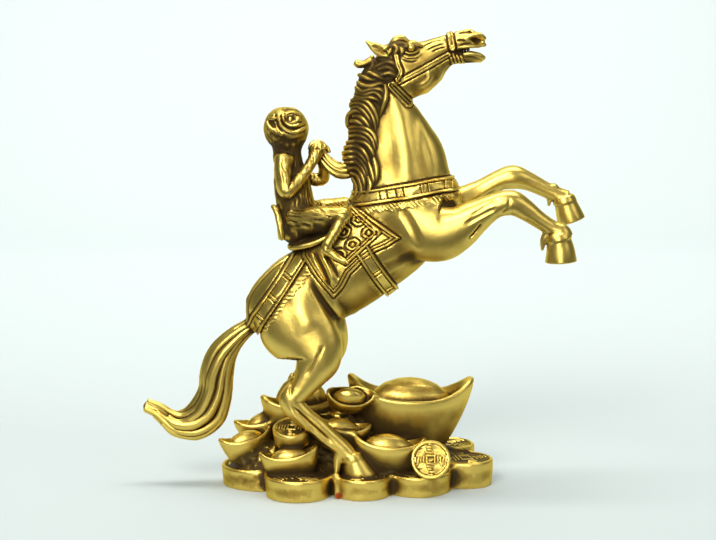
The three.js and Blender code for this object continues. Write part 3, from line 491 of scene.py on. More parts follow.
def tack_reliefs():
    """Collar, girth, croup straps and bridle, the cloths under the saddle and their tassels."""
    under = [[-4, 158], [24.1, 139.4], [17, 134.5], [10, 131.6], [1.2, 124.1], [-4.7, 118.3], [-9, 110],
             [-14.1, 104], [-23.6, 115], [-32, 127], [-33, 135]]
    upper = [[-4.1, 157.2], [13.6, 142.7], [-7.1, 123.8], [-21.2, 134.5], [-17, 142]]
    reliefs = [
        Strap([[-3, 160.2], [12, 163], [25, 165.4], [44, 168.4], [61, 169.4]], 4.0, 1.0,
              (18, 27.5, 42, 56), 4.2),
        Fringe([[4, 155.4], [14, 156.6], [28, 158.8], [46, 161], [57, 162]], 2.7, 0.5, 2.2, 0.9),
        Strap([[-33, 128.4], [-46, 108.5], [-58.5, 90], [-63, 80]], 4.2, 1.0, (15, 30, 44), 2.4),
        Fringe([[-27.4, 121.8], [-36.6, 109.6], [-45.8, 99], [-56, 84.5]], 2.7, 0.7, 2.9, 0.8),
        Strap([[22.6, 227.6], [38, 235.6], [52.3, 243.6]], 1.3, 0.7),
        Strap([[52.3, 258.8], [54.3, 247.5]], 1.8, 0.9),
        Strap([[22, 243], [23, 238], [24.6, 233.8], [22.6, 229.6]], 1.3, 0.9),
        Strap([[19.4, 226], [25, 220.4], [29.6, 215.8]], 2.4, 0.8),
        Ridge([[17, 228.4], [25, 220.4], [32, 213.4]], 0.9, 0.6),
    ]
    for k in range(4):
        x = 53.8 + 2.1 * k
        reliefs.append(Ridge([[x - 1.4, 244.6], [x, 240.8], [x + 1.8, 236.5]], 0.95, 1.0))
    reliefs.append(Patch(under, 1.2, (1.7, 3.4)))
    for line in ([[-28.6, 132], [-22.4, 120], [-16.6, 109]], [[-23, 132], [-17, 121.5], [-13.4, 111]]):
        reliefs.append(Ridge(line, 2.3, 1.4))
    for line in ([[-25.8, 132], [-19.6, 120], [-15.4, 109]], [[-19, 131], [-13.4, 121], [-10.6, 114]]):
        reliefs.append(Ridge(line, 1.4, -1.0))
    reliefs.append(Strap([[-4, 142], [21, 103.5], [25.5, 96]], 4.2, 2.1, (15, 28, 41), 2.2))
    reliefs.append(Patch(upper, 2.5, (1.6, 3.2)))
    for x, z in ([0.2, 149.4], [6.2, 142.4], [-3.2, 135.6], [-8.4, 142.4], [-10.8, 129.6]):
        reliefs.append(Lozenge(x, z))
    return reliefs


class TopStrap:
    """The strap along the middle of the croup, crossed by pairs of bars."""

    covers = False

    low = np.array([-66.0, 84.0])
    high = np.array([-36.0, 130.0])

    def height(self, p):
        edge = np.abs(p[:, 1])
        flat = step(5.3, 4.7, edge) * step(-37, -38.5, p[:, 0]) * step(100, 104, p[:, 2] - 0.3 * p[:, 0])
        bars = 0.5 + 0.5 * np.cos(2 * math.pi * (p[:, 2] - p[:, 0]) / 15)
        return flat * (0.9 + 0.5 * bump((edge - 4.1) / 0.8) + 0.5 * step(0.82, 0.95, bars) * (edge < 4.1))


def horse():
    parts = [Limb(TORSO, 1, 0.6), Limb(NECK, 7), Limb(SKULL, 4, 0.8), Limb(JAW, 2, 0.8)]
    parts += [Limb(NEAR_FORELEG, 5), Limb(FAR_FORELEG, 5), Limb(SHEATH, 1.5, 0.8)]
    parts += [Limb(NEAR_HIND_LEG, 5), Limb(sided(NEAR_HIND_LEG, shift=FAR_HIND_SHIFT), 5)]
    hooves = [NEAR_FORE_HOOF, FAR_FORE_HOOF, NEAR_HIND_HOOF, sided(NEAR_HIND_HOOF, shift=FAR_HIND_SHIFT)]
    for hoof in hooves:
        parts.append(Limb(hoof, 0.8, 0.15))
        x, y, z, depth, width = hoof[0]
        coronet = [[x - 0.4, y, z + 1.2, depth + 0.3, width + 0.3],
                   [x + 0.1, y, z - 0.9, depth + 0.9, width + 0.8]]
        parts.append(Limb(coronet, 0.8, 0.4))
    tufts = [[109.5, -22, 143.5, 2.4, 2.6], [107, -22, 138, 2, 2.2], [106.3, -22, 132.5, 0.9, 1]]
    parts.append(Limb(tufts, 1.2, 0.8))
    parts.append(Limb([[x + 7.2, -y - 2, z + 20.5, a, b] for x, y, z, a, b in tufts], 1.2, 0.8))
    hind = [[-10, -25, 14.5, 2.8, 2.8], [-12, -26, 9, 2.8, 2.8], [-12.6, -27, 2, 2, 2.2]]
    parts += [Limb(hind, 2, 0.8), Limb(sided(hind, shift=FAR_HIND_SHIFT), 2, 0.8)]
    return Group(parts + head_parts(), horse_reliefs() + tack_reliefs() + [TopStrap()])


HORSE = horse()


def flank(x, z, side, form):
    """Where the form's surface lies on one side of a point in side view, or zero off it."""
    ways = np.linspace(20, 0, 60)
    points = np.array([[x, side * way, z] for way in ways])
    inside = np.flatnonzero(form.distance(points) < 0)
    return ways[inside[0]] if len(inside) else 0.0


# Mane, forelock and tail

LOCKS = [
    [[-0.1, 227.5], [3.5, 225.5], [8, 225.5], [12.6, 227], [14.9, 225.9], [15.5, 222.6]],
    [[-1.1, 224.6], [2.8, 222.3], [8, 223.9], [12.6, 223.6], [14.6, 221.4], [15.2, 216.9], [15.5, 213]],
    [[-0.5, 221.7], [4.1, 220.7], [8.7, 222], [11.9, 220.7], [13.9, 217.5], [15.2, 213]],
    [[-1.8, 219.1], [2.8, 218.8], [7.4, 219.1], [11.3, 217.5], [13.6, 214.9]],
    [[-3.7, 216.9], [1.8, 217.8], [6.1, 216.2], [9, 212.3], [11, 207.2], [11.3, 202.7]],
    [[-4.4, 214.6], [0.5, 215.6], [4.8, 213.6], [8, 209.1], [9.7, 204], [10.3, 199.5]],
    [[-3.7, 212.3], [0.2, 213.3], [4.1, 210.4], [7.1, 205.9], [8.7, 201.4]],
    [[3.6, 209.8], [-0.6, 211], [-4.4, 209.4], [-6.2, 206], [-5.8, 202.6], [-3.4, 200.8]],
    [[-2.6, 208], [1.4, 207.6], [4.6, 205.2], [6.8, 201.4], [8.2, 197.6]],
    [[-4, 205], [-0.4, 204.8], [2.6, 203], [4.6, 200.6]],
    [[-4.7, 201.1], [0.8, 201.7], [5.4, 200.8], [8.4, 198.5], [10.1, 195], [11, 191.1]],
    [[-5, 198.8], [0.2, 199.5], [4.4, 198.5], [7.7, 195.9], [9.3, 191.7], [10.1, 187.2]],
    [[-4.9, 195.9], [-0.5, 196.6], [3.8, 195.9], [6.7, 193.3], [8.4, 189.2]],
    [[-6.3, 192.4], [-1.1, 193.3], [3.8, 193], [7.1, 190.1], [9, 185.9], [10, 180.8]],
    [[-7.6, 189.5], [-2.7, 190.4], [2.2, 189.2], [5.1, 185.6], [6.7, 181.1], [7.7, 176.3]],
    [[-8.6, 186.3], [-3.7, 187.2], [0.8, 186.4], [4.3, 183], [6.4, 178.5], [7.3, 173.7]],
    [[-8.3, 183.4], [-3.7, 184], [0.5, 183.4], [3.5, 180.5], [5.4, 176], [6.1, 171.1]],
    [[-7.3, 180.5], [-3.1, 181.2], [0.5, 180.5], [3.1, 177.6], [4.7, 173.1], [5.1, 168.6]],
    [[-5.3, 177.2], [-1.1, 177.7], [1.8, 175.6], [3.5, 171.1], [3.8, 166.6], [2.2, 162.1]],
    [[-4, 174.7], [-0.1, 173.1], [1.8, 169.2], [2.2, 164.7], [-0.1, 160.8], [-2.7, 157.6]],
    [[-3.1, 171.8], [-0.8, 167.9], [-0.5, 164], [-2.1, 159.5], [-5, 153.7]],
    [[6.1, 182.1], [8, 176.9], [9, 171.8], [8.7, 167.3]],
    [[9.3, 184], [10.5, 178.9], [10.8, 173.7], [10.1, 169.2]],
    [[6.1, 173.1], [7.3, 169.2], [6.1, 164.7], [3.1, 160.2]],
    [[15.6, 226.2], [16.2, 222.4], [15.8, 218.6], [14.4, 213.6], [12.8, 208.6]],
]
POLL_LOCKS = [
    [[9, 235.2], [12.6, 237.7], [16.2, 239.1], [19.8, 238.8], [22.2, 236.2], [23.4, 233.3]],
    [[12, 234.9], [16.9, 236.2], [20.1, 234.9], [22.1, 232.3]],
    [[13.6, 232], [18.5, 233], [21.1, 231.4], [21.8, 229.6]],
    [[6.1, 233.3], [9.4, 232], [13.9, 229.8], [17, 228.6]],
    [[0.5, 231.6], [3.5, 230.3], [8, 229], [12.6, 229.4]],
    [[8, 242.3], [9, 239.1], [8, 235.9], [5.4, 233.9]],
    [[11.3, 241.7], [14.6, 240.2], [18.2, 241]],
    [[15.2, 247], [17.2, 247.6], [18.5, 245.8], [17.2, 243.8]],
    [[19.2, 247.5], [21.1, 248.1], [22.4, 246.2], [21.1, 243.6], [22.4, 241.2]],
    [[23.7, 247.4], [25.4, 245.5], [24.6, 242.4]],
]
MANE_CORE = [[9, 0, 236, 4, 3.8], [5.5, 0, 229, 5, 3.8], [2.5, 0, 219, 5, 3.6], [0, 0, 208, 5, 3.6],
             [0, 0, 198, 4.5, 3.6], [-2.5, 0, 188, 5, 3.8], [-2.5, 0, 179, 4.6, 4], [0, 0, 168, 3, 3.8],
             [-1.5, 0, 156, 3, 4.6]]
CREST_TUFT = [[7.5, -1, 239.4, 2.6, 3], [3.2, -1, 237.8, 2.1, 2.6], [0.6, -1, 237.7, 2.3, 2.6],
              [-1, -1, 238.6, 2.2, 2.6]]
FORELOCK = [[19, 0, 246, 3, 4], [23, 0, 248.6, 2.6, 3.4], [27, 0, 249, 1.8, 3]]
MANE_FORM = Group([*HORSE.members, Limb(MANE_CORE, 2, 0.8)])


def lock(line, side, thick, lift):
    """A strand of hair laid on the neck along a line drawn in side view."""
    curve = spline(line, 2.0)
    seats = np.array([flank(x, z, side, MANE_FORM) for x, z in curve])
    seats = np.convolve(np.pad(seats, 1, mode="edge"), (0.25, 0.5, 0.25), mode="valid")
    stations = []
    for k, (x, z) in enumerate(curve):
        share = k / (len(curve) - 1)
        size = thick * (0.85 + 0.5 * math.sin(math.pi * share) ** 0.7) * (1 - 0.55 * share**3)
        y = seats[k] + lift * math.sin(math.pi * (0.25 + 0.75 * share)) - 0.1
        stations.append([x, side * max(y, 0.8), z, size, size])
    return Limb(stations, 0.3, 0.8)


def mane():
    """Wavy locks that run level from the crest and bend down, and curls round the poll and the ears."""
    parts = [Limb(MANE_CORE, 2, 0.8)]
    for side in (-1, 1):
        for line in LOCKS:
            drop = 0 if side < 0 else 1.3
            parts.append(lock([[x, z - drop] for x, z in line], side, 1.35, 0.9))
        for line in POLL_LOCKS:
            parts.append(lock(line, side, 1.25, 0.6))
    parts += [Limb(CREST_TUFT, 1, 0.6), Limb(FORELOCK, 2, 0.8)]
    return Group(parts, blend=0.5)


TAIL = [[-60, 0, 86.5, 4.4, 4.2], [-66, 0, 82, 4.8, 4.7], [-73.5, 0, 75.5, 6.5, 5.9], [-80.5, 0, 66, 8.4, 7],
        [-83.8, 0, 55, 9.6, 7], [-85, 0, 43.5, 10, 7], [-89.5, 0, 31.5, 11.6, 7.4], [-98.5, 0, 24.6, 9.8, 7],
        [-108.5, 0, 24.8, 7.4, 6], [-118, 0, 31.6, 5.4, 4.7], [-125.5, 0, 35.2, 4.6, 4.1]]


def tail():
    """A ribbon of thick strands wound round a core."""
    core = [[x, y, z, 0.66 * a, 0.66 * b] for x, y, z, a, b in TAIL]
    parts = [Limb(core, 1, 0.8)]
    form = Limb(TAIL, 1)
    strands = 11
    stops = 16
    samples = np.linspace(0, len(form.middle) - 1, stops).astype(int)
    for k in range(strands):
        phase = 2 * math.pi * k / strands
        stop = stops - (k % 3)
        stations = []
        for i in samples[:stop]:
            share = i / (len(form.middle) - 1)
            angle = phase + 0.9 * share + 0.12 * math.sin(9 * share + 2 * k)
            depth, width = form.size[i]
            spot = form.middle[i] + form.deep[i] * (depth * 0.76 * math.cos(angle))
            spot = spot + form.wide[i] * (width * 0.76 * math.sin(angle))
            thick = 0.27 * min(depth, 9.5) * (1.05 + 0.2 * math.sin(5 * share + 2.3 * k))
            if stop < stops and i >= samples[stop - 2]:
                thick *= 0.6
            stations.append([*spot, thick, thick])
        parts.append(Limb(stations, 0.35, 0.8))
    return Group(parts, blend=1.0)


# The saddle

def saddle():
    seat = [[-40, 0, 131, 1.8, 7], [-34, 0, 133, 2.6, 12], [-24, 0, 136, 4, 14], [-12, 0, 142, 5, 15],
            [-2, 0, 150, 5, 13], [0, 0, 157, 3.4, 8]]
    rim = [[-39, -9.5, 131.2, 1.3, 1.3], [-34, -13.6, 132.6, 1.5, 1.4], [-26, -15.6, 135, 1.6, 1.4],
           [-18, -16.4, 138.6, 1.6, 1.4]]
    return Group([Limb(seat, 1, 0.8), Limb(rim, 0.8, 0.8), Limb(sided(rim), 0.8, 0.8)], blend=0.6)


# The monkey

MONKEY_BODY = [[-42, 0, 194, 6, 6.4], [-41, 0, 189, 5.9, 6], [-40.8, 0, 182, 8, 8.6], [-39, 0, 170, 10.3, 10],
               [-37, 0, 158.5, 11.2, 10.6], [-35.7, 0, 148, 11.8, 11.8], [-36.4, 0, 140, 9.6, 10.6]]
MONKEY_SKULL = [[-44, 0, 200.6, 12.2, 12.2], [-40, 0, 200.6, 12.2, 12]]
MONKEY_NECK = [[-41, 0, 195, 10.4, 10.4], [-41.2, 0, 189, 8.2, 8.2], [-41.4, 0, 183, 7.6, 7.8]]
MONKEY_MUZZLE = [[-36.5, 0, 200, 6.6, 7.4], [-33, 0, 201, 4.8, 5.4]]
MONKEY_BROW = [[-38.6, 5.6, 210, 1.2, 2.6], [-34.6, 4.4, 208.6, 1.2, 2.2]]
MONKEY_EAR = [[-43.4, 10.6, 206.6, 1.0, 1.2], [-48, 9.8, 207.2, 1.3, 1.3], [-52.2, 7.6, 206, 1.1, 1.2],
              [-51.2, 8.8, 202.6, 1.2, 1.2], [-48, 10.4, 199.8, 1.2, 1.2], [-44.4, 11.4, 197.8, 0.9, 0.9]]
MONKEY_THIGH = [[-35.5, -7, 146, 8.2, 7], [-23, -15, 149.5, 7.3, 6], [-12.5, -20, 152, 5.3, 5],
                [-7.5, -22, 153, 4.2, 4.2]]
MONKEY_SHIN = [[-7.5, -22, 154, 4, 3.6], [-12, -23.5, 145.5, 3.3, 3.2], [-17, -24.5, 137, 3, 2.9],
               [-18.5, -24.5, 132.5, 3, 2.9]]
MONKEY_FOOT = [[-18.6, -24.5, 132.4, 2.7, 2.6], [-13, -25, 129, 2.4, 2.7], [-8, -25.5, 126, 1.8, 2.4]]
MONKEY_NEAR_ARM = [[-43, -9, 183.5, 5.4, 4.8], [-43.4, -12, 174, 4.8, 4.2], [-41, -13.2, 165.4, 4.4, 4],
                   [-33, -10.4, 173, 3.5, 3.2], [-26.5, -5.4, 182, 3.3, 3.1], [-24, -2.8, 188, 4.6, 3.8]]
MONKEY_FAR_ARM = [[-38.5, 8.5, 179.5, 4.7, 4.5], [-29.5, 10.5, 170.5, 3.8, 3.5], [-20.8, 10.5, 170, 3.8, 3.5],
                  [-20.5, 7, 178, 3, 2.9], [-22, 2.5, 185.5, 4, 3.6]]
MONKEY_TAIL = [[-49.5, -4, 155, 1.6, 1.8], [-47.5, -8, 152.6, 1.9, 2], [-45.6, -11, 146, 1.9, 2],
               [-44.4, -11.4, 138, 2.1, 2.2]]
REIN = [[-21.5, 0.5, 185.4, 2.6, 1.7], [-18, -1, 181, 3.4, 1.7], [-14, -2, 177.6, 4.1, 1.6],
        [-9, -2, 175.8, 4.6, 1.6], [-3.5, -2, 176.6, 4.2, 1.6]]


class Fur:
    """Short combed strokes that run down the body and out along the thighs."""

    covers = False
    low = np.array([-62.0, 122.0])
    high = np.array([2.0, 200.0])

    def height(self, p):
        x, y, z = p.T
        thigh = step(156, 152, z) * step(-44, -38, x)
        along = np.where(thigh > 0.5, 0.8 * x - 0.6 * z, z)
        across = np.where(thigh > 0.5, 0.8 * z + 0.6 * x + y, x + 0.7 * y)
        bend = 0.8 * noise(np.stack([across / 5, along / 5, 0 * x], axis=1), 1.0)
        strokes = np.stack([across / 1.1 + bend, along / 3.6, 0 * x], axis=1)
        return 0.26 * noise(strokes, 1.0) * step(196, 191, z)


class Face:
    """Brows, sunk eyes, nose and mouth, two ridges that frame the face, hollow ears and short hair behind."""

    covers = False
    low = np.array([-62.0, 190.0])
    high = np.array([-22.0, 216.0])

    RIDGES = [([[-46.2, 211.5], [-45.4, 207], [-44, 203.2], [-41, 200.4], [-37, 199.4], [-32.6, 200.4],
                [-29, 203]], 1.4, 1.1),
              ([[-47, 201], [-42, 198.4], [-37, 197.4], [-31, 199]], 2.8, 0.9),
              ([[-43.6, 211], [-43, 207], [-41, 204.2], [-38, 202.8], [-34, 203.6], [-31.6, 205]], 1.1, 1.1),
              ([[-44.6, 210], [-44, 206], [-42.2, 203.2], [-39, 201.8], [-35.4, 201.8]], 0.9, -1.0),
              ([[-47.8, 211], [-47.2, 206], [-45.6, 202], [-42.4, 198.6]], 1.0, -0.7),
              ([[-46, 195.6], [-40, 193.6], [-34, 194.6]], 2.2, -0.7),
              ([[-38.4, 201.2], [-34.6, 201.4], [-30, 203]], 0.8, -1.1),
              ([[-42.4, 209.6], [-38.6, 210.8], [-34, 209.4]], 1.1, 0.9)]

    def __init__(self):
        self.reliefs = [Ridge(line, half, rise) for line, half, rise in self.RIDGES]
        self.reliefs += [Hollow([-38.6, 207], [3.6, 2.4], 1.3), Hollow([-48.4, 203.4], [4.4, 2.2], 1.0, -0.7)]
        self.reliefs.append(Hollow([-33.2, 204.6], [1.4, 0.9], 0.7))

    def height(self, p):
        x, z = p[:, 0], p[:, 2]
        total = 1.3 * np.sqrt(bump(np.hypot(x + 39, z - 206.9) / 1.4))
        total += 0.9 * bump(np.hypot(x + 34.4, z - 206.6) / 1.9)
        for relief in self.reliefs:
            total += relief.height(p)
        return total + 0.16 * noise(p / (0.8, 0.8, 1.8), 1.0) * step(-41, -46, x - 0.6 * (z - 198))


def monkey():
    """Body, head, legs and toes, brows and ears, arms, fingers closed round the rein, and the tail."""
    parts = [Limb(MONKEY_BODY, 1, 0.8), Limb(MONKEY_SKULL, 3, 0.9), Limb(MONKEY_NECK, 3, 0.6)]
    parts.append(Limb(MONKEY_MUZZLE, 2.2, 0.8))
    for side in (1, -1):
        for bone, blend in ((MONKEY_THIGH, 3), (MONKEY_SHIN, 1.4), (MONKEY_FOOT, 1.2)):
            parts.append(Limb(sided(bone, side), blend, 0.8))
        parts.append(Limb(sided(MONKEY_BROW, -side), 1.2, 0.8))
        parts.append(Limb(sided(MONKEY_EAR, -side), 0.7, 0.8))
        for k in range(4):
            toe = [[-10 + 0.6 * k, 23.6 + 1.1 * k, 127.6, 0.9, 0.9],
                   [-6.6 + 0.2 * k, 24 + 1.2 * k, 125.4, 0.8, 0.8]]
            parts.append(Limb(sided(toe, -side), 0.4, 0.8))
    parts += [Limb(MONKEY_NEAR_ARM, 1.6, 0.8), Limb(MONKEY_FAR_ARM, 1.6, 0.8)]
    for y, x, z in ((-2.5, -24, 188), (2.5, -22, 185.5)):
        parts.append(Limb([[x - 1.5, y, z - 2, 3.6, 3], [x - 0.5, y, z + 0.5, 3.6, 3.2]], 1, 0.9))
        for radius, out in ((4.7, 0.8), (3.3, 2.3), (1.9, 3.3)):
            finger = []
            for angle in (3.1, 2.5, 1.9, 1.3, 0.7, 0.1):
                along = x + 0.4 + radius * math.cos(angle)
                up = z + 0.6 + radius * math.sin(angle)
                finger.append([along, y + math.copysign(out, y), up, 1.0, 1.0])
            parts.append(Limb(finger, 0.3, 0.8))
    parts.append(Limb(MONKEY_TAIL, 0.5, 0.8))
    return Group(parts, [Fur(), Face()], blend=0.9)


def rein():
    """A folded ribbon from the hands to the mane, with lengthwise grooves."""
    return Limb(REIN, 0.8, 0.6, flute=lambda angle, along: 1 + 0.13 * np.cos(8 * angle))


# Coins and ingots

def rotation(degrees, first, second):
    """The rotation that turns one axis, by its number, toward another."""
    cosine, sine = math.cos(math.radians(degrees)), math.sin(math.radians(degrees))
    matrix = np.eye(3)
    matrix[first, first] = matrix[second, second] = cosine
    matrix[second, first] = sine
    matrix[first, second] = -sine
    return matrix


class Placed:
    """A form drawn round its own origin, tilted, turned and set in place."""

    def __init__(self, spot, tilt=0.0, lean=0.0, turn=0.0, blend=1.0, reach=20.0):
        self.turned = rotation(turn, 0, 1) @ rotation(tilt, 2, 0) @ rotation(lean, 1, 2)
        self.spot = np.asarray(spot, dtype=float)
        self.blend = blend
        self.low = self.spot - reach
        self.high = self.spot + reach

    def distance(self, p):
        return self.local((p - self.spot) @ self.turned)


class Coin(Placed):
    """A thick coin: raised rim, square in the middle and four groups of strokes that are no letters."""

    def __init__(self, spot, radius, thickness, seed, **place):
        super().__init__(spot, reach=radius + thickness, **place)
        self.radius = radius
        self.thickness = thickness
        draw = np.random.default_rng(seed)
        self.strokes = []
        for quarter in range(4):
            turn = quarter * math.pi / 2
            for row in range(4):
                out = radius * (0.36 + 0.135 * row)
                aside = radius * draw.uniform(-0.1, 0.1)
                x = out * math.cos(turn) - aside * math.sin(turn)
                y = out * math.sin(turn) + aside * math.cos(turn)
                angle = turn + 0.5 * math.pi + draw.uniform(-0.12, 0.12)
                self.strokes.append([x, y, angle, radius * draw.uniform(0.06, 0.2)])

    def local(self, p):
        x, y, z = p.T
        r = np.hypot(x, y)
        top = self.thickness - 0.9 + 0.9 * step(self.radius - 2.3, self.radius - 1.7, r)
        near = (np.abs(z - self.thickness) < 3) & (r < self.radius - 1)
        if near.any():
            u, v = x[near], y[near]
            half = 0.2 * self.radius
            square = np.maximum(np.abs(u), np.abs(v))
            rise = 0.8 * bump((square - half) / 0.9) - 0.9 * step(half - 0.6, half - 1, square)
            for sx, sy, angle, length in self.strokes:
                c, s = math.cos(angle), math.sin(angle)
                along = np.clip((u - sx) * c + (v - sy) * s, -length, length)
                off = np.hypot(u - sx - along * c, v - sy - along * s)
                rise = np.maximum(rise, 0.75 * bump(off / 0.8))
            top[near] += rise
        if self.thickness > 8:
            reach = self.radius * (1 - 0.06 * np.clip(1 - z / self.thickness, 0, 1))
            body = smooth_cut(r - reach - 0.35 * noise(p, 7.0), z - top, 2.0)
        else:
            body = smooth_cut(r - self.radius, z - top, 1.0)
        return np.maximum(body, -z)


class Ingot(Placed):
    """A boat-shaped ingot: flared hull, rim that rises to both tips, sunk deck and domed middle."""

    SHARES = np.array([0, 0.22, 0.42, 0.57, 0.67, 0.73, 0.78, 0.87, 0.92, 1.2])
    TIP = np.array([0, 0, 0, 0, 0, 0.05, 0.1, 0.85, 1, 1])

    def __init__(self, spot, length, dome, **place):
        super().__init__(spot, reach=0.62 * length + 2, **place)
        self.length = length
        self.depth = 0.5 * length
        self.height = 0.38 * length
        self.rise = (0.16 if length > 60 else 0.12) * length
        self.foot = 0.3 if length > 60 else 0.35
        deck = 0.8
        bulge = dome - deck
        self.levels = np.array([dome, deck + 0.93 * bulge, deck + 0.76 * bulge, deck + 0.5 * bulge,
                                deck + 0.16 * bulge, deck - 0.02, deck, 0.98, 1, 1])

    def local(self, p):
        x, y, z = p.T
        share = np.hypot(x / (0.5 * self.length), y / (0.5 * self.depth))
        cosine = x / (0.5 * self.length) / np.maximum(share, 1e-3)
        tip = self.rise * np.abs(cosine) ** 3
        level = np.clip(z / (self.height + tip), 0, 1.1)
        long = (self.foot + (0.5 - self.foot) * (1 - (1 - np.minimum(level, 1)) ** 1.5)) * self.length
        wide = (0.34 + 0.16 * (1 - (1 - np.minimum(level, 1)) ** 1.8)) * self.depth
        hull = (np.hypot(x / long, y / wide) - 1) * wide * 0.85
        top = self.height * np.interp(share, self.SHARES, self.levels)
        top = top + tip * np.interp(share, self.SHARES, self.TIP)
        return np.maximum(smooth_cut(hull, (z - top) * 0.6, 1.2), -z)


class Heap(Placed):
    """The rough mass that fills the middle of the base."""

    def __init__(self, spot, half, height):
        super().__init__(spot, blend=3, reach=max(half) + 2)
        self.half = half
        self.height = height

    def local(self, p):
        x, y, z = p.T
        k = np.sqrt((x / self.half[0]) ** 2 + (y / self.half[1]) ** 2 + (np.maximum(z, 0) / self.height) ** 2)
        lumps = 0.9 * noise(p, 5.0) + 0.5 * noise(p, 2.2)
        return np.maximum((k - 1) * min(self.height, *self.half) * 0.8 - lumps, -z)


FLAT_COINS = [[-0.73, 0.06, 23, 1], [-0.43, -0.56, 20.5, 1.05], [0.43, -0.32, 20.5, 1], [0.79, 0.03, 17, 1.3],
              [0.67, 0.6, 17, 1.5], [-0.52, 0.6, 19, 1], [0.28, 0.6, 19, 1]]
HEAPS = [[0, 0.16, 0.82, 0.66, 14], [-0.16, 0.1, 0.42, 0.36, 31], [0.4, 0.2, 0.34, 0.4, 18],
         [-0.66, 0.02, 0.26, 0.42, 14]]
SMALL_INGOTS = [[-0.79, -0.05, 4.5, 0.86, 14, -12, 1.34, 0], [-0.64, 0.3, 10, 1.02, 10, -14, 1.3, 0],
                [-0.47, -0.5, -2, 0.94, 0, -8, 1.34, 0], [-0.41, 0.28, 16, 1.3, 8, -2, 1.9, 0],
                [-0.08, -0.04, 35, 0.78, 8, 6, 1.5, 42], [-0.15, -0.26, 13, 0.94, 8, 10, 1.34, 6],
                [0.2, -0.38, 0, 1.18, 0, 5, 1.34, 0], [-0.12, 0.66, 0, 1, 8, -4, 1.34, 0]]
LARGE_INGOT = [0.37, 0.15, 11.5, 1, 2, 2, 1.38, 0]
HOOF_COIN_RADIUS = 18
FRONT_RIDGE = [[-12.6, -31.4, 1, 1.4, 1.4], [-12.4, -34, -4, 1.3, 1.3], [-12.2, -35.2, -13, 1.5, 1.5]]


def spot_on_base(u, v, lift):
    return [u * BASE_LENGTH / 2, v * BASE_DEPTH / 2, lift]


def base():
    parts = []
    for u, v, a, b, height in HEAPS:
        half = (a * BASE_LENGTH / 2, b * BASE_DEPTH / 2)
        parts.append(Heap(spot_on_base(u, v, -COIN_THICKNESS), half, height + COIN_THICKNESS))
    coins = [[*spot_on_base(u, v, -COIN_THICKNESS), radius, share] for u, v, radius, share in FLAT_COINS]
    x, y = NEAR_HIND_HOOF[-1][:2]
    coins.append([x, y, -COIN_THICKNESS, HOOF_COIN_RADIUS, 1])
    coins.append([x + FAR_HIND_SHIFT, -y, -COIN_THICKNESS, HOOF_COIN_RADIUS, 1])
    for k, (x, y, z, radius, share) in enumerate(coins):
        parts.append(Coin([x, y, z], radius - 0.6, COIN_THICKNESS * share, k, blend=4.5, turn=37 * k))
    for row in [*SMALL_INGOTS, LARGE_INGOT]:
        u, v, lift, share, turn, tilt, dome, lean = row
        length = share * (LARGE_INGOT_LENGTH if row is LARGE_INGOT else SMALL_INGOT_LENGTH)
        spot = spot_on_base(u, v, lift)
        parts.append(Ingot(spot, length, dome, tilt=tilt, lean=lean, turn=turn, blend=2))
    parts.append(Limb(FRONT_RIDGE, 3, 0.8))
    parts.append(Coin(spot_on_base(0.52, -0.58, 9), 11.6, 3.4, 21, lean=66, blend=0.8))
    parts.append(Coin(spot_on_base(-0.47, -0.3, 18), 11.5, 9.5, 22, lean=20, turn=-10, blend=0.8))
    return Group(parts, blend=0.9)


# The skin

CASTING = Group([HORSE, base(), tail(), mane(), saddle(), monkey(), rein()])
DULLNESS = np.array([0.02, 0.29, 0.18, 0.43, 0.25, 0.28, 0.17])
CELL = 4
BLOCK = 8


def casting_field(p):
    """The whole casting, cut level underneath."""
    return np.maximum(CASTING.distance(p), -COIN_THICKNESS - p[:, 2])


def cube(width):
    """The whole-number places in a cube, row by row."""
    return np.stack(np.meshgrid(*[np.arange(width)] * 3, indexing="ij"), axis=-1).reshape(-1, 3)


def sculpt():
    """The field on a fine grid: exact near the surface, and of the right sign elsewhere."""
    low = np.array([-131.0, -49.5, -COIN_THICKNESS - 1.5])
    high = np.array([137.0, 49.5, 259.0])
    size = CELL * VOXEL
    cells = np.ceil((high - low) / size / BLOCK).astype(int) * BLOCK
    fine = np.full(tuple(cells * CELL), FAR, dtype=np.float32)
    inner = (cube(CELL) + 0.5) * VOXEL
    steps = cube(BLOCK)
    corner_of = (steps // (BLOCK // 2)) @ (4, 2, 1)
    octants = [np.flatnonzero(corner_of == k) for k in range(8)]
    band = 1.3 * size + 0.5

    def work(start):
        corner = low + start * size
        coarse = casting_field(corner + (steps + 0.5) * size)
        block = np.repeat(np.repeat(np.repeat(coarse.reshape([BLOCK] * 3), CELL, 0), CELL, 1), CELL, 2)
        for octant in octants:
            near = octant[np.abs(coarse[octant]) < band]
            if len(near) == 0:
                continue
            points = (corner + steps[near] * size)[:, None, :] + inner[None, :, :]
            values = casting_field(points.reshape(-1, 3)).reshape(len(near), *[CELL] * 3)
            for cell, value in zip(near, values):
                i, j, k = steps[cell] * CELL
                block[i:i + CELL, j:j + CELL, k:k + CELL] = value
        i, j, k = start * CELL
        width = BLOCK * CELL
        fine[i:i + width, j:j + width, k:k + width] = block

    starts = [np.array(start) for start in itertools.product(*[range(0, count, BLOCK) for count in cells])]
    with ThreadPoolExecutor(4) as pool:
        list(pool.map(work, starts))
    return fine, low + 0.5 * VOXEL


def sample(field, origin, spacing, points):
    """A grid's value at any points, from the eight grid points round each."""
    q = (points - origin) / spacing
    q = np.clip(q, 0, np.array(field.shape) - 1.001)
    cell = q.astype(int)
    return blended(q - cell, lambda corner: field[tuple((cell + corner).T)])


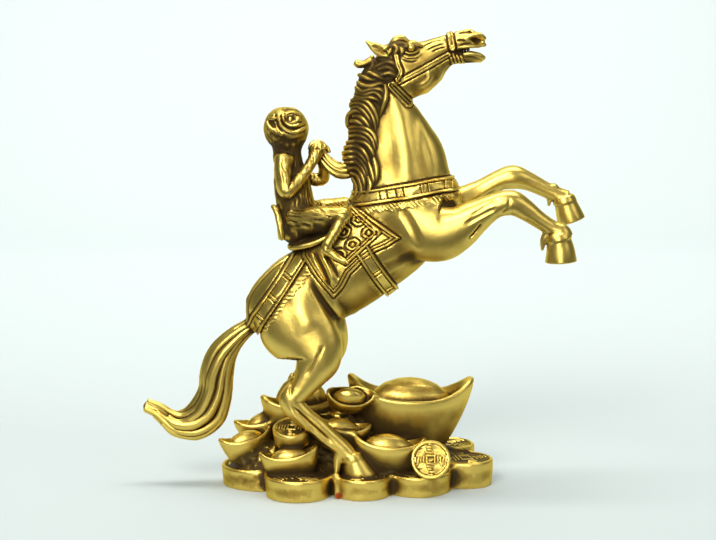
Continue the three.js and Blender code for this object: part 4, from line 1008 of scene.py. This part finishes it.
def coarser(grid, times):
    """The grid with cells the given number of times as wide, each the mean of the cells in it."""
    kept = [n // times * times for n in grid.shape]
    grid = grid[:kept[0], :kept[1], :kept[2]]
    for axis in range(3):
        shape = list(grid.shape)
        shape[axis:axis + 1] = [shape[axis] // times, times]
        grid = grid.reshape(shape).mean(axis=axis + 1, dtype=np.float32)
    return grid


def blurred(solid, reach):
    """How full of metal the cube round each grid point is."""
    out = solid
    for _ in range(2):
        for axis in range(3):
            edges = [(reach + 1, reach) if a == axis else (0, 0) for a in range(3)]
            total = np.cumsum(np.pad(out, edges, mode="edge"), axis=axis, dtype=np.float32)
            count = out.shape[axis]
            ahead = np.take(total, range(2 * reach + 1, 2 * reach + 1 + count), axis=axis)
            behind = np.take(total, range(0, count), axis=axis)
            out = (ahead - behind) / (2 * reach + 1)
    return out


def warp(points, back=False):
    """Shrinks the far side in side view, so that the thinning keeps more of the near side's detail."""
    most = 0.4
    share = 1 - most * step(-14, 16, points[:, 1])
    share = 1 / share if back else share
    return np.stack([points[:, 0] * share, points[:, 1], points[:, 2] * share], axis=1)


def largest_part(points, faces):
    """The points and faces of the largest connected surface, without the crumbs that float beside it."""
    part = np.arange(len(points))
    while True:
        least = part[faces].min(axis=1)
        joined = part.copy()
        for corner in faces.T:
            np.minimum.at(joined, corner, least)
            np.minimum.at(joined, part[corner], least)
        joined = joined[joined]
        if np.array_equal(joined, part):
            break
        part = joined
    part = part[faces[:, 0]]
    faces = faces[part == np.bincount(part).argmax()]
    used, faces = np.unique(faces.ravel(), return_inverse=True)
    return points[used], faces.reshape(-1, 4)


def make_skin(field, origin):
    """The zero surface of the field as a closed mesh, thinned to the triangles allowed."""
    grid = openvdb.FloatGrid(FAR)
    grid.copyFromArray(field, tolerance=0.0)
    points, _, quads = grid.convertToPolygons(isovalue=0.0, adaptivity=0.0)
    points, quads = largest_part(points.astype(float), quads.astype(int))
    points = warp(points * VOXEL + origin)
    mesh = bpy.data.meshes.new("monkey_on_horse_brass")
    mesh.from_pydata(points.tolist(), [], quads.tolist())
    piece = bpy.data.objects.new("monkey_on_horse_brass", mesh)
    bpy.context.scene.collection.objects.link(piece)
    modifier = piece.modifiers.new("thin", "DECIMATE")
    modifier.ratio = min(1.0, MOST_TRIANGLES / (2 * len(quads)))
    graph = bpy.context.evaluated_depsgraph_get()
    thin = bpy.data.meshes.new_from_object(piece.evaluated_get(graph))
    piece.modifiers.clear()
    piece.data = thin
    bpy.data.meshes.remove(mesh)
    return piece


def settle(points):
    """The points moved on to the surface, with their outward directions, hollowness and dullness."""
    probe = 0.35
    wide = 0.75
    ways = np.vstack([np.eye(3), -np.eye(3)])
    moved = points.copy()
    outward = np.empty_like(points)
    hollow = np.empty(len(points))
    darkening = np.empty(len(points))

    def work(chosen):
        spots = points[chosen]
        round_them = np.vstack([spots] + [spots + reach * way for reach in (probe, wide) for way in ways])
        each = [np.minimum(member.distance(round_them), FAR) for member in CASTING.members]
        values = each[0]
        for member, value in zip(CASTING.members[1:], each[1:]):
            values = smooth_union(values, value, member.blend)
        values = np.maximum(values, -COIN_THICKNESS - round_them[:, 2]).reshape(1 + 2 * len(ways), -1)
        normal = (values[1:4] - values[4:7]).T
        length = np.maximum(np.linalg.norm(normal, axis=1, keepdims=True), 1e-6)
        climb = np.maximum(length[:, 0] / (2 * probe), 0.5)
        outward[chosen] = normal / length
        moved[chosen] = spots - outward[chosen] * np.clip(values[0] / climb, -0.3, 0.3)[:, None]
        hollow[chosen] = (values[0] - values[7:].mean(axis=0)) / wide
        own = np.array([value[:len(chosen)] for value in each])
        weight = np.exp((own.min(axis=0) - own) / 0.4)
        darkening[chosen] = DULLNESS @ weight / weight.sum(axis=0)

    block_width = 14
    keys = np.floor(points / block_width).astype(int) @ (1, 100, 10000)
    order = np.argsort(keys, kind="stable")
    with ThreadPoolExecutor(4) as pool:
        list(pool.map(work, np.split(order, np.flatnonzero(np.diff(keys[order])) + 1)))
    return moved, outward, hollow, darkening


def sheltered(field, origin, points, outward):
    """How much metal stands round the points, nearby and farther off."""
    solid = coarser((field < 0).astype(np.uint8), 2)
    middle = origin + 0.5 * VOXEL
    near = blurred(solid, max(1, round(1.1 / VOXEL)))
    total = 1.2 * (sample(near, middle, 2 * VOXEL, points) - 0.5)
    broad = coarser(solid, 3)
    broad = blurred(broad, max(1, round(1.0 / VOXEL)))
    return total + sample(broad, middle + 2 * VOXEL, 6 * VOXEL, points + 1.5 * outward) - 0.4


def darker_heads_and_painted_shade(points, outward):
    """Darker on the horse's head and muzzle and on the monkey's head, and painted shade on what faces down
    under the belly.
    """
    x, _, z = points.T
    head = 0.2 * step(218, 232, z) + 0.14 * step(50, 60, x) * step(235, 240, z)
    # The last term is painted shade: darker where the skin faces down, above the base.
    return head + (0.08 * step(192, 197, z) * step(-28, -32, x)
                   + 0.24 * step(0.2, -0.7, outward[:, 2]) * step(60, 80, z))


def finish_skin(piece, field, origin):
    """Settles the thinned skin, and gives it its normals and the value that the patina and the painted shade
    under the belly follow.
    """
    mesh = piece.data
    flat = np.empty(len(mesh.vertices) * 3)
    mesh.vertices.foreach_get("co", flat)
    points, outward, hollow, darkening = settle(warp(flat.reshape(-1, 3), back=True))
    # Adds the darker heads and the painted shade on downward faces to each part's dullness.
    darkening += darker_heads_and_painted_shade(points, outward)
    # Patina in the recesses plus each part's dullness, the darker heads and the painted shade on downward
    # faces, in one value.
    patina_and_painted_shade = np.minimum(sheltered(field, origin, points, outward) + 1.5 * hollow + darkening, 0.55)
    metres = (points + (0, 0, COIN_THICKNESS)) * MM
    metres[:, 2] = np.maximum(metres[:, 2], 0)
    mesh.vertices.foreach_set("co", metres.ravel())
    layer = mesh.attributes.new("patina_and_painted_shade", "FLOAT", "POINT")
    layer.data.foreach_set("value", patina_and_painted_shade.astype(np.float32))
    mesh.polygons.foreach_set("use_smooth", np.ones(len(mesh.polygons), dtype=bool))
    mesh.update()
    mesh.normals_split_custom_set_from_vertices(outward.tolist())


field, origin = sculpt()
piece = make_skin(field, origin)
finish_skin(piece, field, origin)


# Looks

def node(tree, kind, inputs=None, **settings):
    """A new node with its settings. An input given as another node's output is linked, and a value is set."""
    made = tree.nodes.new(kind)
    for name, value in settings.items():
        setattr(made, name, value)
    fill(tree, made, inputs or {})
    return made


def fill(tree, made, inputs):
    for name, value in inputs.items():
        if isinstance(value, bpy.types.NodeSocket):
            tree.links.new(value, made.inputs[name])
        else:
            made.inputs[name].default_value = value


def colour_ramp(tree, value, stops):
    """The colour output of a ramp through the given stops."""
    ramp = node(tree, "ShaderNodeValToRGB", {"Fac": value})
    elements = ramp.color_ramp.elements
    for k, (place, colour) in enumerate((stops[0], stops[-1])):
        elements[k].position = place
        elements[k].color = (*colour, 1)
    for place, colour in stops[1:-1]:
        elements.new(place).color = (*colour, 1)
    return ramp.outputs["Color"]


def new_material(name):
    material = bpy.data.materials.new(name)
    material.use_nodes = True
    return material, material.node_tree, material.node_tree.nodes["Principled BSDF"]


def brass():
    """Rubbed brass: bright gold where hands reach it, brown and dull in every recess, darker on the heads,
    with painted shade on what faces down under the belly.
    """
    material, tree, shader = new_material("brass")
    patina_and_painted_shade = node(tree, "ShaderNodeAttribute", attribute_name="patina_and_painted_shade").outputs["Fac"]
    place = node(tree, "ShaderNodeTexCoord").outputs["Object"]

    def mottle(scale, detail):
        inputs = {"Scale": scale, "Detail": detail, "Vector": place}
        return node(tree, "ShaderNodeTexNoise", inputs).outputs["Fac"]

    def ranged(value, **ends):
        inputs = {name.replace("_", " "): end for name, end in ends.items()}
        return node(tree, "ShaderNodeMapRange", {**inputs, "Value": value}).outputs["Result"]

    def uneven(height, strength, **below):
        inputs = {"Strength": strength, "Distance": 0.0003, "Height": height, **below}
        return node(tree, "ShaderNodeBump", inputs).outputs["Normal"]

    # Random mottling, patina and painted shade together, from bright gold to dark brown.
    mixed = node(tree, "ShaderNodeMath", {0: mottle(60, 5), 1: 0.35, 2: patina_and_painted_shade}, operation="MULTIPLY_ADD")
    tarnish_and_painted_shade = ranged(mixed.outputs[0], From_Min=0.18, From_Max=0.62)
    metal = colour_ramp(tree, tarnish_and_painted_shade, [(0.0, (0.77, 0.56, 0.125)), (0.35, (0.44, 0.285, 0.055)),
                                     (0.65, (0.125, 0.078, 0.016)), (1.0, (0.05, 0.028, 0.008))])
    # The red dab of paint at the foot of the front coins
    away = node(tree, "ShaderNodeVectorMath", {0: place, 1: (-0.0112, -0.0375, 0.002)}, operation="DISTANCE")
    dab = ranged(away.outputs["Value"], From_Min=0.0030, From_Max=0.0018)
    colours = {"Factor": dab, "A": metal, "B": (0.35, 0.05, 0.015, 1)}
    painted = node(tree, "ShaderNodeMix", colours, data_type="RGBA")
    fill(tree, shader, {
        "Base Color": painted.outputs["Result"],
        "Metallic": ranged(tarnish_and_painted_shade, From_Min=0.45, From_Max=1.0, To_Min=1.0, To_Max=0.35),
        "Roughness": ranged(tarnish_and_painted_shade, To_Min=0.35, To_Max=0.62),
        "Specular Tint": (0.95, 0.78, 0.4, 1),
        "Normal": uneven(mottle(900, 3), 0.12, Normal=uneven(mottle(260, 2), 0.35)),
    })
    return material


piece.data.materials.clear()
piece.data.materials.append(brass())
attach(piece, "root")
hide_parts(NODE)


# Floor, light and camera

def paper():
    """Pale paper, a little greyer in front, as painted shade."""
    material, tree, shader = new_material("pale_paper")
    place = node(tree, "ShaderNodeTexCoord").outputs["Object"]
    back = node(tree, "ShaderNodeSeparateXYZ", {0: place}).outputs["Y"]
    # Painted shade: greyer at the front and under the figure, paler towards the back and up the curve.
    painted_shade = colour_ramp(tree, back, [(0.1, (0.53, 0.585, 0.565)), (0.9, (0.70, 0.76, 0.74))])
    fill(tree, shader, {"Roughness": 0.9, "Base Color": painted_shade})
    return material


def floor():
    """A pale sheet that runs back and curves up behind the figure."""
    profile = [(-0.15, 0.0)]
    radius = 0.5
    back = 1.0
    for k in range(17):
        angle = math.pi / 2 * k / 16
        profile.append((back + radius * math.sin(angle), radius * (1 - math.cos(angle))))
    profile.append((back + radius, 3.0))
    half = 3.0
    verts = [(side * half, y, z) for y, z in profile for side in (-1, 1)]
    faces = [(2 * k, 2 * k + 1, 2 * k + 3, 2 * k + 2) for k in range(len(profile) - 1)]
    mesh = bpy.data.meshes.new("floor")
    mesh.from_pydata(verts, [], faces)
    for polygon in mesh.polygons:
        polygon.use_smooth = True
    sheet = bpy.data.objects.new("floor", mesh)
    bpy.context.scene.collection.objects.link(sheet)
    mesh.materials.append(paper())


def softbox(name, place, target, size, watts):
    """A soft rectangular light aimed at a spot."""
    light = bpy.data.lights.new(name, "AREA")
    light.shape = "RECTANGLE"
    light.size, light.size_y = size
    light.energy = watts
    lamp = bpy.data.objects.new(name, light)
    lamp.location = place
    lamp.rotation_euler = (Vector(target) - Vector(place)).to_track_quat("-Z", "Y").to_euler()
    bpy.context.scene.collection.objects.link(lamp)


def camera():
    """The photograph's view: nine degrees above level, square to the horse's side."""
    distance = 1.25
    elevation = math.radians(9)
    target = Vector((0, 0, 0.129))
    focal_pixels = 2125
    photo_width = 716
    data = bpy.data.cameras.new("camera")
    data.sensor_fit = "HORIZONTAL"
    data.lens = data.sensor_width * focal_pixels / photo_width
    eye = bpy.data.objects.new("camera", data)
    eye.location = target + Vector((0, -math.cos(elevation), math.sin(elevation))) * distance
    eye.rotation_euler = (target - eye.location).to_track_quat("-Z", "Y").to_euler()
    bpy.context.scene.collection.objects.link(eye)
    bpy.context.scene.camera = eye


floor()
camera()
world = bpy.data.worlds.new("studio")
world.use_nodes = True
fill(world.node_tree, world.node_tree.nodes["Background"], {"Color": (0.9, 0.97, 1.0, 1), "Strength": 0.13})
bpy.context.scene.world = world
bpy.context.scene.view_settings.view_transform = "Standard"
softbox("key", (-0.5, -1.2, 1.1), (0, 0, 0.12), (0.6, 0.6), 15)
softbox("front", (-0.15, -1.6, 0.45), (0, 0, 0.12), (0.7, 0.7), 8.5)
softbox("fill", (1.2, -0.9, 0.9), (0, 0, 0.12), (0.7, 0.7), 3)
softbox("top", (0, 0.2, 1.5), (0, 0, 0.1), (1.3, 1.0), 5)
softbox("paper", (0, 0.1, 1.6), (0, 1.4, 0.5), (1.6, 0.6), 29)
